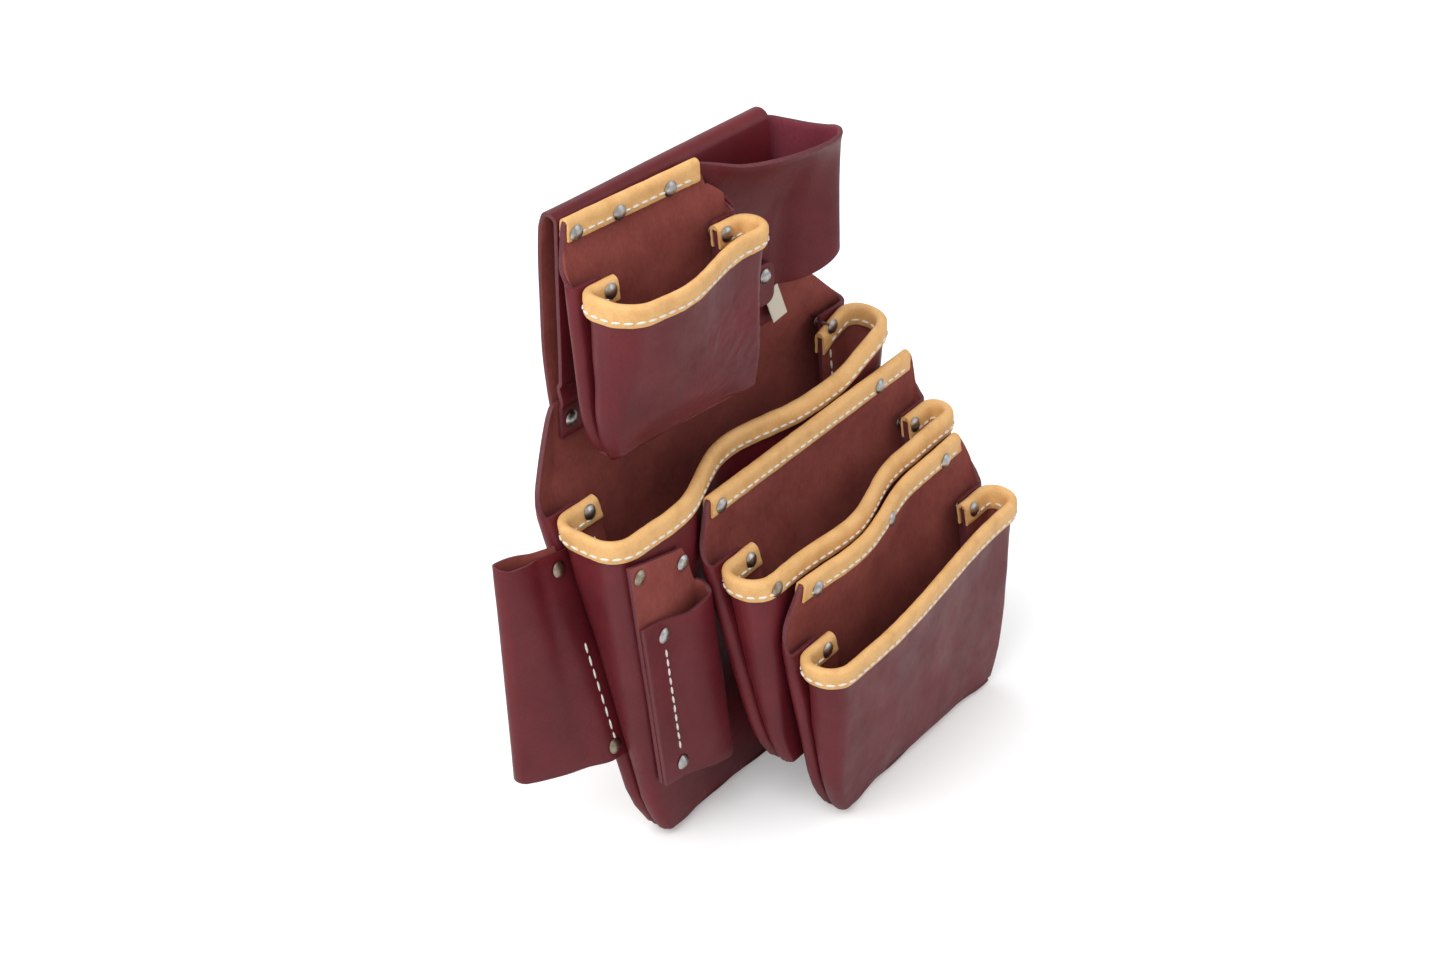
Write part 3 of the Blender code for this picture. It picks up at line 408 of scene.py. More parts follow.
class Finishes:
    """Every finish of the pouch, built once."""

    def __init__(self) -> None:
        """Build the leathers, the binding, the thread, the metals and the cloth."""
        dark, light = (0.088, 0.0070, 0.0112), (0.150, 0.0145, 0.0210)
        self.grain = waxed("burgundy_grain_side", dark, light).build()
        self.creased = waxed("creased_grain_side", dark, light, crease=0.75).build()
        self.loop_lining = waxed("loop_lining", (0.20, 0.036, 0.055), (0.27, 0.052, 0.077), 0.6).build()
        fibres = Pattern(650, 5, 0.7, (1, 1, 0.35))
        self.flesh = Finish(
            "brown_flesh_side", Pattern(35, 7, 0.7), [(0.28, (0.200, 0.044, 0.037)), (0.72, (0.315, 0.082, 0.068))],
            [(fibres, 0.35, 0.0004), (Pattern(140, 6, 0.6), 0.15, 0.0006)], 0.85,
            (fibres, [(0.3, (0.70, 0.68, 0.68)), (0.7, WHITE)], 0.6), specular=0.16,
        ).build()
        layers, dye = Pattern(1500, 4, 0.6), (0.095, 0.016, 0.022)
        self.edge = Finish("burnished_edge", layers, [(0.3, toned(dye, 0.6)), (0.7, toned(dye, 1.7))],
                           [(layers, 0.4, 0.0003)], 0.62).build()
        grain = Pattern(1300, 4, 0.65)
        self.tan = Finish(
            "tan_binding_leather", Pattern(90, 5, 0.6), [(0.15, (0.60, 0.305, 0.100)), (0.55, (0.78, 0.455, 0.178))],
            [(grain, 0.22, 0.0003), (Pattern(240, 5, 0.6), 0.14, 0.0006)], 0.58,
            (grain, [(0.3, (0.80, 0.76, 0.70)), (0.55, WHITE)], 0.6), specular=0.4,
        ).build()
        fibre, white = Pattern(2600, 3, 0.5), (0.80, 0.77, 0.70)
        self.thread = Finish("white_thread", fibre, [(0.3, toned(white, 0.72)), (0.6, white)],
                             [(fibre, 0.3, 0.0002)], 0.7).build()
        self.nickel = nickel("nickel_bright", (0.52, 0.51, 0.50)).build()
        self.aged = nickel("nickel_aged", (0.40, 0.33, 0.25)).build()
        self.cloth = woven("blank_tag_cloth", (0.72, 0.66, 0.55))


# ---------------------------------------------------------------- bench


class Editing:
    """Edit mode on the active piece, with its whole mesh selected."""

    def __enter__(self) -> None:
        """Start to edit."""
        bpy.ops.object.mode_set(mode="EDIT")
        bpy.ops.mesh.select_all(action="SELECT")

    def __exit__(self, *failure: object) -> None:
        """Go back to the object."""
        bpy.ops.object.mode_set(mode="OBJECT")


@dataclass
class Bench:
    """The maker's bench: cuts, thickens, sews and hands in pieces."""

    finishes: Finishes
    shift: Vector

    def cut_grid(self, name: str, rows: list[list[Vector]], side: Side = Side.KEEP) -> Piece:
        """Cut a flat blank and bend it through rows of points.

        Args:
            name: name of the piece.
            rows: points, row by row, all rows equally long.
            side: whether its normals are turned.

        Returns:
            The bent sheet, without thickness.
        """
        wide, tall = len(rows[0]), len(rows)
        bpy.ops.object.select_all(action="DESELECT")
        bpy.ops.mesh.primitive_grid_add(x_subdivisions=wide - 1, y_subdivisions=tall - 1, size=2)
        blank = bpy.context.object
        blank.name = name
        for vertex in blank.data.vertices:
            column = round((vertex.co.x + 1) / 2 * (wide - 1))
            row = round((vertex.co.y + 1) / 2 * (tall - 1))
            vertex.co = rows[row][column] + self.shift
        if side is Side.FLIP:
            with Editing():
                bpy.ops.mesh.flip_normals()
        return blank

    def soften(self, sheet: Piece, depth: float, size: float, seed: float) -> None:
        """Let a sheet undulate along its normals.

        Args:
            sheet: the piece.
            depth: largest rise, in metres.
            size: spacing of the swells, in metres.
            seed: offset of the pattern.
        """
        normals = [vertex.normal.copy() for vertex in sheet.data.vertices]
        for vertex, normal in zip(sheet.data.vertices, normals):
            spot = vertex.co / size + Vector((seed, seed * 2, seed * 3))
            vertex.co += normal * (noise.fractal(spot, 1.0, 2.0, 3) * depth)

    def wrinkle(self, sheet: Piece, centre: Vector, reach: Point, depth: float) -> None:
        """Press fine slanting creases into a sheet around a spot.

        Args:
            sheet: the piece, without thickness.
            centre: middle of the creased area.
            reach: its half sizes.
            depth: of the creases, in metres.
        """
        slant = Matrix.Rotation(math.radians(38), 3, "Y")
        for vertex in sheet.data.vertices:
            away = vertex.co - centre - self.shift
            near = Vector((away.x / reach[0], away.y / reach[1], away.z / reach[2])).length
            if near < 1:
                spot = slant @ vertex.co
                bend = noise.noise(spot * 60) * 0.004
                crease = abs(noise.noise(Vector((spot.x * 70, 0, (spot.z + bend) * 330))))
                vertex.co += vertex.normal * depth * smooth((1 - near) * 1.6) * (min(crease * 3.2, 1) - 1)

    def thicken(self, sheet: Piece, thickness: float, mats: list[Material]) -> None:
        """Give a sheet its leather: outside, inside and cut edge each have their finish.

        Args:
            sheet: the piece.
            thickness: in metres.
            mats: outside, inside and edge finishes.
        """
        for material in mats:
            sheet.data.materials.append(material)
        solid = sheet.modifiers.new("leather", "SOLIDIFY")
        solid.thickness = thickness
        solid.offset = 0
        solid.use_even_offset = False
        solid.material_offset = 1
        solid.material_offset_rim = 2
        self.apply(sheet, solid)
        bevel = sheet.modifiers.new("edge", "BEVEL")
        bevel.width = thickness * 0.22
        bevel.segments = 2
        bevel.limit_method = "ANGLE"
        bevel.angle_limit = math.radians(50)
        self.apply(sheet, bevel)
        self.shade(sheet)

    def apply(self, piece: Piece, modifier: bpy.types.Modifier) -> None:
        """Apply one modifier."""
        self.pick(piece)
        bpy.ops.object.modifier_apply(modifier=modifier.name)

    def pick(self, *pieces: Piece) -> None:
        """Select only these pieces, the first one active."""
        bpy.ops.object.select_all(action="DESELECT")
        for piece in pieces:
            piece.select_set(True)
        bpy.context.view_layer.objects.active = pieces[0]

    def shade(self, piece: Piece, angle: float = 40) -> None:
        """Shade a piece smooth, apart from its sharp edges."""
        self.pick(piece)
        bpy.ops.object.shade_smooth_by_angle(angle=math.radians(angle))

    def hand_in(self, piece: Piece, nodes: list[str],
                body: Carrier = Carrier.POUCH, rides: bool = True) -> None:
        """Let a finished piece ride and put it in place of its nodes.

        Args:
            piece: the finished piece.
            nodes: CAD nodes that it stands for.
            body: the body it moves with.
            rides: False where the piece moves with neither body.
        """
        if rides:
            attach(piece, body.value)
        if nodes:
            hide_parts(*nodes)
        log.info("%s: %d faces", piece.name, len(piece.data.polygons))

    def leather(self, name: str, rows: list[list[Vector]], side: Side, nodes: list[str], depth: float = 0.0006,
                size: float = 0.035, body: Carrier = Carrier.POUCH, thickness: float = LEATHER,
                rides: bool = True, grain: Material | None = None,
                lining: Material | None = None, worn: Vector | None = None) -> Piece:
        """Make one leather sheet from its rows.

        Args:
            name: name of the piece.
            rows: rows of points of its middle surface.
            side: which way its grain side faces.
            nodes: CAD nodes that it stands for.
            depth: depth of its swells.
            size: spacing of its swells.
            body: the body it moves with.
            thickness: of the leather.
            rides: False where the caller hands it in itself.
            grain: another finish for its outside.
            lining: another finish for its inside.
            worn: middle of an area with creases.

        Returns:
            The finished sheet.
        """
        sheet = self.cut_grid(name, rows, side)
        self.soften(sheet, depth, size, len(name) * 1.7)
        if worn is not None:
            self.wrinkle(sheet, worn, (0.050, 0.030, 0.034), 0.00055)
        mats = [grain or self.finishes.grain, lining or self.finishes.flesh, self.finishes.edge]
        self.thicken(sheet, thickness, mats)
        if rides:
            self.hand_in(sheet, nodes, body)
        return sheet

    def bind(self, name: str, crest: list[Vector], foot: list[Vector], nodes: list[str],
             body: Carrier = Carrier.POUCH) -> Piece:
        """Fold a tan binding over an edge.

        Args:
            name: name of the piece.
            crest: centre line of its fold.
            foot: the same line at its lower edges.
            nodes: CAD nodes that it stands for.
            body: the body it moves with.

        Returns:
            The binding.
        """
        inner, outer, puff, lip = HALF + BINDING_CLEAR, BOUND_HALF, 0.00022, 0.0002
        face = [(-outer + lip, 1.0), (-outer - puff, 0.93), (-outer - puff, 0.78), (-outer, 0.62),
                (-outer - puff, 0.42)]
        turns = [math.radians(degrees) for degrees in (0, 20, 40, 60, 78, 90, 102, 120, 140, 160, 180)]
        arc = [(-outer * math.cos(turn), 1 - (FOLD * math.sin(turn) + BINDING_DROP - FOLD) / BINDING_DROP)
               for turn in turns]
        lining = [(inner, drop) for drop in (0.985, 0.6, 0.2)]
        up, down = across(crest), across(foot)
        rows = []
        for sideways, drop in face + arc + mirrored(face) + lining + mirrored(lining) + face[:1]:
            row = []
            for i in range(len(crest)):
                top = crest[i] + up[i] * sideways
                low = foot[i] + down[i] * sideways
                ragged = 0.00028 * noise.noise(foot[i] * 420 + Vector((sideways * 900, 0, 0))) if drop > 0.9 else 0.0
                spot = top.lerp(low, drop + ragged * 60)
                spot += up[i] * 0.00025 * noise.noise(spot * 130)
                row.append(spot)
            rows.append(row)
        strip = self.cut_grid(name, rows)
        with Editing():
            bpy.ops.mesh.remove_doubles(threshold=0.00001)
            bpy.ops.mesh.select_all(action="DESELECT")
            bpy.ops.mesh.select_non_manifold()
            bpy.ops.mesh.fill_holes(sides=0)
            bpy.ops.mesh.select_all(action="SELECT")
            bpy.ops.mesh.normals_make_consistent(inside=False)
        strip.data.materials.append(self.finishes.tan)
        self.shade(strip, 50)
        self.hand_in(strip, nodes, body)
        return strip

    def sew(self, name: str, line: list[Vector], outwards: list[Vector], pitch: float = 0.0060,
            body: Carrier = Carrier.POUCH, margin: float = 0.003) -> Piece | None:
        """Sew a row of stitches along a line.

        Args:
            name: name of the row.
            line: fine line on the leather's surface.
            outwards: the surface's direction at each point.
            pitch: distance from stitch to stitch.
            body: the body it moves with.
            margin: bare length at each end.

        Returns:
            The joined row, or None where there's no room.
        """
        lengths = [0.0]
        for a, b in zip(line, line[1:]):
            lengths.append(lengths[-1] + (b - a).length)
        count = int((lengths[-1] - 2 * margin) / pitch)
        if count < 1:
            return None
        start = (lengths[-1] - count * pitch) / 2
        bpy.ops.mesh.primitive_uv_sphere_add(segments=8, ring_count=6, radius=1)
        model = bpy.context.object
        model.name = name
        made, places = [], []
        for k in range(count):
            mid = start + (k + 0.5) * pitch
            i = max(j for j in range(len(lengths) - 1) if lengths[j] <= mid)
            spot = line[i].lerp(line[i + 1], (mid - lengths[i]) / max(lengths[i + 1] - lengths[i], 1e-9))
            out = outwards[i].normalized()
            run = Matrix.Rotation(0.10 * noise.noise(spot * 500), 3, out) @ (line[i + 1] - line[i]).normalized()
            wide = out.cross(run).normalized()
            length = pitch * (STITCH_LENGTH + 0.025 * noise.noise(spot * 700 + Vector((3, 1, 2))))
            axes = Matrix((run * length, wide * STITCH_WIDE, out * STITCH_THICK)).transposed().to_4x4()
            places.append(Matrix.Translation(spot + self.shift + out * 0.00012) @ axes)
            made.append(model.copy() if k else model)
            if k:
                made[k].data = model.data.copy()
                bpy.context.collection.objects.link(made[k])
        for stitch, place in zip(made, places):
            stitch.matrix_world = place
        bpy.context.view_layer.update()
        self.pick(*made)
        if len(made) > 1:
            bpy.ops.object.join()
        bpy.ops.object.transform_apply(location=True, rotation=True, scale=True)
        bpy.ops.object.shade_smooth()
        row = bpy.context.object
        row.name = name
        row.data.materials.clear()
        row.data.materials.append(self.finishes.thread)
        self.hand_in(row, [], body)
        return row


def mirrored(path: list[Flat]) -> list[Flat]:
    """A path from its end to its start, with its x turned round."""
    return [(-x, y) for x, y in reversed(path)]


def across(line: list[Vector]) -> list[Vector]:
    """Find the level direction across a line at each point.

    Args:
        line: the points.

    Returns:
        The directions, longer at bends so that a width is kept.
    """
    out = []
    for i, here in enumerate(line):
        ahead = line[min(i + 1, len(line) - 1)] - here
        behind = here - line[max(i - 1, 0)]
        steps = [step.to_2d().normalized() for step in (behind, ahead) if step.length > 0]
        run = (steps[0] + steps[-1]).normalized()
        out.append(Vector((-run.y, run.x, 0)) / max(run.dot(steps[0]), 0.6))
    return out


# ---------------------------------------------------------------- pouches


@dataclass(frozen=True)
class Level:
    """A pouch's plan at one height: x of both ridges, y of back, seam and front at the left."""

    height: float
    left: float
    right: float
    back: float
    seam: float
    front: float


def wing_share(column: int) -> float:
    """How far a wing's column has risen from the seam (0) to the panel (1)."""
    return smooth((column - 3) / (WING - 4))


@dataclass
class GussetPouch:
    """A gusseted pouch: back with wings, front curled round both sides, bindings and seams."""

    name: str
    mouth: Level
    bottom: Level
    top: float
    top_left: float
    top_right: float
    top_back: float
    slope: float
    rise: float = 0.0
    wing_inset: float = 0.012
    rear_curl: float = 0.010
    front_curl: float = 0.018
    front_wave: list[Flat] = field(default_factory=lambda: [(0, 0), (1, 0)])
    back_wave: list[Flat] = field(default_factory=lambda: [(0, 0), (1, 0)])
    back_fade: Flat = (0.0, 0.0)
    right_shift: float = 0.0
    top_slope: float | None = None
    lift_end: float = 0.0
    flange: float = 0.020
    seam_inwards: float = 0.0225
    body: Carrier = Carrier.POUCH
    corner: float = 0.010
    corner_height: float = 0.030
    worn: Vector | None = None

    def share(self, height: float) -> float:
        """Height as a share of the way from the bottom to the mouth."""
        return min(max((height - self.bottom.height) / (self.mouth.height - self.bottom.height), 0.0), 1.0)

    def level(self, height: float) -> Level:
        """The plan at a height."""
        share = min((height - self.bottom.height) / (self.mouth.height - self.bottom.height), 1.0)
        names = ("left", "right", "back", "seam", "front")
        return Level(height, **{n: mix(getattr(self.bottom, n), getattr(self.mouth, n), share) for n in names})

    def shear(self, x: float, height: float, lift: float = 0.0) -> float:
        """How far a point to the right of the left ridge is moved back."""
        slope = self.slope if self.top_slope is None else mix(self.slope, self.top_slope, lift)
        return slope * (x - self.level(height).left)

    def back_growth(self, height: float) -> float:
        """How much of the back's wave there is at a height."""
        low, high = self.back_fade
        return smooth(self.share(height)) if high <= low else smooth((height - low) / (high - low))

    def right_level(self, height: float) -> Level:
        """The plan of the right side, moved back by the waves."""
        level = self.level(height)
        growth = smooth(self.share(height))
        return Level(
            height, level.left, level.right,
            level.back + wave(self.back_wave, 1) * self.back_growth(height),
            level.seam + self.right_shift * self.back_growth(height),
            level.front + wave(self.front_wave, 1) * growth,
        )

    def flange_length(self, level: Level) -> float:
        """Length of the seam flanges at a level."""
        return mix(FLANGE_LOW, self.flange, smooth(self.share(level.height) / 0.4))

    def seam_half(self, height: float) -> float:
        """Half the distance between the two sheets' middles in the seam: it closes below the binding."""
        return mix(CLOSED, SEAM_HALF, smooth((height - self.mouth.height + 0.034) / 0.018))

    def back_side(self, level: Level, inset: float) -> list[Flat]:
        """Half of the back's plan.

        Args:
            level: the plan's sizes at the height.
            inset: how far the panel's corner stands inwards of the ridge.

        Returns:
            (inwards, backwards) of each column, from the flange's tip to the panel's corner.
        """
        depth, half = level.back - level.seam, self.seam_half(level.height)
        fold = min(0.004, 0.48 * (depth - half))
        flange = self.flange_length(level)
        lean = math.atan2(inset, depth - half - 2 * fold)
        path = []
        for k in range(13):
            turn = (math.pi / 2 + lean) * k / 12
            path.append((fold - fold * math.sin(turn), half + fold - fold * math.cos(turn)))
        for k in range(7):
            turn = lean + (math.pi / 2 - lean) * k / 6
            path.append((inset + fold - fold * math.cos(turn), depth - fold + fold * math.sin(turn)))
        return [(fold + flange, half), (fold + flange / 2, half)] + even_steps(path, WING - 2)

    def back_point(self, column: int, height: float) -> Flat:
        """Where one column of the back stands.

        Args:
            column: its number, from the left flange's tip.
            height: of the point.

        Returns:
            x and y.
        """
        level = self.level(height)
        inset = self.wing_inset * min(1.0, self.share(height) + 0.25)
        side = self.back_side(level, inset)
        lift = smooth((height - self.mouth.height) / ((self.lift_end or self.top) - self.mouth.height))
        left_corner, right_corner = level.left + side[-1][0], level.right - side[-1][0]
        left_lift, right_lift = lift * (self.top_left - left_corner), lift * (self.top_right - right_corner)
        back_lift = lift * (self.top_back - self.mouth.back)
        risen = 1.0
        if column < WING:
            risen = wing_share(column)
            x = level.left + side[column][0] + left_lift * risen
            y = level.seam + side[column][1] + back_lift * risen
        elif column >= BACK_COLUMNS - WING:
            mirrored = BACK_COLUMNS - 1 - column
            risen = wing_share(mirrored)
            right = self.right_level(height)
            side = self.back_side(right, inset)
            x = level.right - side[mirrored][0] + right_lift * risen
            y = right.seam + side[mirrored][1] + back_lift * risen
        else:
            place = (column - WING + 1) / (BACK_COLUMNS - 2 * WING + 1)
            x = mix(left_corner + left_lift, right_corner + right_lift, place)
            bulge = wave(self.back_wave, (x - level.left) / (level.right - level.left))
            y = level.back + back_lift + bulge * self.back_growth(height)
        return x, y + self.shear(x, height, lift * risen)

    def back_top(self, column: int) -> float:
        """Height of the back's upper edge: the wings drop in an S to the seam."""
        edge = self.mouth.height - CLEAR - BINDING
        if column < WING:
            return mix(edge, self.top, wing_share(column))
        if column >= BACK_COLUMNS - WING:
            return mix(edge + self.rise, self.top, wing_share(BACK_COLUMNS - 1 - column))
        return self.top

    def front_side(self, level: Level) -> list[Flat]:
        """Half of the front's plan.

        Args:
            level: the plan's sizes at the height.

        Returns:
            (inwards, forwards) of each column, from the flange's tip to the front.
        """
        depth, half = level.seam - level.front, self.seam_half(level.height)
        flange = self.flange_length(level)
        room = 0.94 * (depth - half)
        rear = min(self.rear_curl, 0.45 * room)
        fore = min(self.front_curl, room - rear)
        rb, fb = rear * (1 - math.sqrt(0.5)), fore * (1 - math.sqrt(0.5))
        low = 1 - math.cos(math.radians(22))
        high = 1 - math.sin(math.radians(22))
        return [
            (rear + flange, half), (rear + flange / 2, half), (rear, half),
            (rear * high, half + rear * low), (rb, half + rb), (rear * low, half + rear * high),
            (0, half + rear), (0, depth - fore), (fore * low, depth - fore * high),
            (fb, depth - fb), (fore * high, depth - fore * low), (fore, depth),
        ]

    def front_point(self, column: int, height: float) -> Flat:
        """Where one column of the front stands.

        Args:
            column: its number, from the left flange's tip.
            height: of the point.

        Returns:
            x and y.
        """
        level = self.level(height)
        side = self.front_side(level)
        count, last = len(side), FRONT_COLUMNS - 1
        share = self.share(height)
        if column < count:
            x, y = level.left + side[column][0], level.seam - side[column][1]
        elif column > last - count:
            right = self.right_level(height)
            inwards, forwards = self.front_side(right)[last - column]
            x, y = level.right - inwards, right.seam - forwards
        else:
            place = (column - count + 1) / (FRONT_COLUMNS - 2 * count + 1)
            x = mix(level.left + side[-1][0], level.right - side[-1][0], place)
            y = level.front + wave(self.front_wave, place) * smooth(share)
            pinch = smooth((PINCH - share) / PINCH) * smooth((min(place, 1 - place) - 0.05) / 0.14)
            bulge = wave(self.back_wave, place) * self.back_growth(height)
            y = mix(y, level.back + bulge - TIGHT - 2 * CLEAR, PINCH_DEPTH * pinch)
        return x, y + self.shear(x, height)

    def rim(self, x: float) -> float:
        """Height of the mouth at x."""
        place = (x - self.mouth.left) / (self.mouth.right - self.mouth.left)
        return self.mouth.height + self.rise * smooth((place - 0.78) / 0.22)

    def tucked(self, x: float, y: float, weight: float) -> list[Point]:
        """The rounded tuck at the bottom of one column.

        Args:
            x: of the column at the bottom.
            y: of the column at the bottom.
            weight: how much of the tuck this column has.

        Returns:
            Three points, the last one in the bottom's middle line.
        """
        base = self.bottom
        middle_y = (base.back + base.front) / 2 + self.shear(x, base.height)
        flat = middle_y - CLOSED * (1 if y < middle_y else -1)
        inner = min(max(x, base.left + TUCK), base.right - TUCK)
        reach_x, reach_y = (inner - x) * weight, (flat - y) * weight
        rise = TUCK_ROUND if weight > 0 else TUCK
        points = []
        for degrees in (90, 60, 30):
            turn = math.radians(degrees)
            height = base.height + HALF + rise * (1 - math.sin(turn))
            points.append((x + reach_x * (1 - math.cos(turn)), y + reach_y * (1 - math.cos(turn)), height))
        return points

    def rounded(self, spot: Point) -> Point:
        """Draw a point near the bottom in from the two lower corners."""
        x, y, z = spot
        low = max(0.0, 1 - (z - self.bottom.height) / self.corner_height) ** 2
        wide = self.bottom.right - self.bottom.left
        left = min(max(1 - (x - self.bottom.left) / wide, 0.0), 1.0)
        shift = self.corner * low * left**4 - 0.5 * self.corner * low * (1 - left) ** 4
        return x + shift, y + self.slope * shift, z

    def lines(self, columns: list[list[Point]], steps: int) -> list[list[Vector]]:
        """Turn columns of points into fine rows, with the pouch's lower corners rounded."""
        return [fine_line([self.rounded(spot) for spot in row], steps) for row in zip(*columns)]

    def heights(self, top: float, shares: list[float]) -> list[float]:
        """Heights of a column's rows, the last one at the leather's edge."""
        low = self.bottom.height + HALF + TUCK
        return [mix(low, top + BINDING + CLEAR - BINDING_DROP, s) for s in shares] + [top - 0.004, top]

    def build(self, bench: Bench) -> None:
        """Build and dress the whole pouch."""
        self.build_front(bench)
        self.build_back(bench)
        self.build_mouth(bench)
        self.build_seams(bench)

    def build_front(self, bench: Bench) -> None:
        """Build the front sheet.

        Args:
            bench: the bench.
        """
        shares = [0, 0.03, 0.07, 0.12, 0.18, 0.25, 0.34, 0.45, 0.56, 0.67, 0.78, 0.89, 1]
        columns = []
        for column in range(FRONT_COLUMNS):
            x, _ = self.front_point(column, self.mouth.height)
            heights = self.heights(self.rim(x) - BINDING - CLEAR, shares)
            near = min(column, FRONT_COLUMNS - 1 - column)
            bx, by = self.front_point(column, self.bottom.height)
            tuck = self.tucked(bx, by, smooth((near - 3) / 4))
            columns.append(tuck[::-1] + [(*self.front_point(column, z), z) for z in heights])
        if self.worn is not None:
            columns = [[tuple(spot) for spot in fine_line(column, 5)] for column in columns]
        bench.leather(f"{self.name}_front_leather", self.lines(columns, 4), Side.KEEP,
                      [f"{self.name}_front"], 0.0013, 0.052, self.body,
                      grain=bench.finishes.creased if self.worn else None, worn=self.worn)

    def back_columns(self) -> list[list[Point]]:
        """The back sheet's columns of points."""
        shares = [0, 0.06, 0.12, 0.22, 0.34, 0.46, 0.58, 0.7, 0.78, 0.86, 0.93, 1]
        columns = []
        for column in range(BACK_COLUMNS):
            near = min(column, BACK_COLUMNS - 1 - column)
            bx, by = self.back_point(column, self.bottom.height)
            tuck = self.tucked(bx, by, smooth((near - 2) / 3))
            heights = self.heights(self.back_top(column), shares)
            columns.append(tuck[::-1] + [(*self.back_point(column, z), z) for z in heights])
        return columns

    def build_back(self, bench: Bench) -> None:
        """Build the back sheet with its wings."""
        bench.leather(f"{self.name}_back_leather", self.lines(self.back_columns(), 4), Side.FLIP,
                      [f"{self.name}_back"], 0.0004, 0.05, self.body)

    def bound_lines(self, point: Plan, crests: dict[int, float]) -> tuple[list[Vector], list[Vector]]:
        """The two lines that a binding follows.

        Args:
            point: gives x and y of a column at a height.
            crests: height of the crest for each column that is bound.

        Returns:
            The binding's crest and foot.
        """
        crest = [(*point(column, high), high) for column, high in crests.items()]
        feet = {column: high - BINDING_DROP for column, high in crests.items()}
        foot = [(*point(column, low), low) for column, low in feet.items()]
        return fine_line(crest, 5), fine_line(foot, 5)

    def build_mouth(self, bench: Bench) -> None:
        """Bind the mouth and sew the binding on both sides."""
        rims = {c: self.rim(self.front_point(c, self.mouth.height)[0]) for c in range(FRONT_COLUMNS)}
        crest, foot = self.bound_lines(self.front_point, rims)
        bench.bind(f"{self.name}_mouth_band", crest, foot, [f"{self.name}_mouth_binding"], self.body)
        sew_binding(bench, f"{self.name}_mouth_stitches", crest, foot, self.body)

    def build_seams(self, bench: Bench) -> None:
        """Sew the two side seams where they show inside the mouth."""
        for side in ("left", "right"):
            line = []
            for k in range(12):
                rim = self.mouth.height + (self.rise if side == "right" else 0)
                z = rim - 0.015 - k * 0.0040
                if z < self.bottom.height + 0.02:
                    break
                level = self.level(z) if side == "left" else self.right_level(z)
                inwards = self.seam_inwards * mix(0.7, 1, self.share(z))
                x = level.left + inwards if side == "left" else level.right - inwards
                line.append(Vector((x, level.seam + self.shear(x, z) - self.seam_half(z) - HALF, z)))
            bench.sew(f"{self.name}_seam_{side}_stitches", line, [Vector((0, -1, 0.1))] * len(line),
                      0.0062, self.body, 0.001)


def sew_binding(bench: Bench, name: str, crest: list[Vector], foot: list[Vector], body: Carrier,
                ends: float = 0.004) -> None:
    """Sew a binding near its lower edge, on both faces.

    Args:
        bench: the bench.
        name: name of the rows.
        crest: the binding's crest.
        foot: its lower line.
        body: the body it moves with.
        ends: bare length at each end.
    """
    directions = across(foot)
    for label, sign in (("front", -1), ("rear", 1)):
        line = []
        for i in range(len(foot)):
            middle = foot[i].lerp(crest[i], 0.26)
            line.append(middle + directions[i] * sign * (BOUND_HALF + 0.0002))
        bench.sew(f"{name}_{label}", line, [d * sign for d in directions], 0.0060, body, ends)


@dataclass
class BoundPouch(GussetPouch):
    """A pouch whose back is bound too and riveted to what hangs behind it."""

    def back_crest(self) -> float:
        """Height of the back binding's crest."""
        return self.top + BINDING + CLEAR

    def build(self, bench: Bench) -> None:
        """Build the pouch and its back binding."""
        super().build(bench)
        bound = range(WING - 1, BACK_COLUMNS - WING + 1)
        crest, foot = self.bound_lines(self.back_point, dict.fromkeys(bound, self.back_crest()))
        bench.bind(f"{self.name}_back_band", crest, foot, [f"{self.name}_back_binding"])
        sew_binding(bench, f"{self.name}_back_stitches", crest, foot, Carrier.POUCH)


@dataclass
class HangingPouch(BoundPouch):
    """The small pouch: its back bends where it leaves its upper binding."""

    crest: float = 0.336

    def back_crest(self) -> float:
        """Height of the hanging binding's crest."""
        return self.crest

    def build_back(self, bench: Bench) -> None:
        """Build the back so that it runs up inside the binding and bends below it.

        Args:
            bench: the bench.
        """
        columns = self.back_columns()
        inside = self.crest - BINDING - CLEAR
        for number, column in enumerate(columns):
            risen = min(wing_share(min(number, BACK_COLUMNS - 1 - number)), 1.0)
            x, y = self.back_point(number, self.top)
            target = mix(column[-1][2] + 0.0004, inside, smooth((risen - 0.9) / 0.1))
            column.append((x, y, mix(column[-1][2], target, 0.5)))
            column.append((x, y, target))
        rows = self.lines(columns, 4)
        sheet = bench.leather(f"{self.name}_back_leather", rows, Side.FLIP, [], 0.0002, 0.05, rides=False)
        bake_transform(sheet)
        bench.hand_in(sheet, [f"{self.name}_back", f"{self.name}_hanger"], rides=False)


# ---------------------------------------------------------------- straps


def folded_rows(point: Plan, edges: Callable[[int], Flat]) -> list[list[Vector]]:
    """Lay out a folded pocket of 19 columns.

    Args:
        point: gives x and y of a column at a height.
        edges: gives the heights of a column's upper and lower edge.

    Returns:
        Its rows, from the lower to the upper edge.
    """
    columns = []
    for column in range(19):
        top, bottom = edges(column)
        heights = [mix(bottom, top, k / 16) for k in range(17)]
        columns.append([(*point(column, z), z) for z in heights])
    return [fine_line(list(row), 5) for row in zip(*columns)]


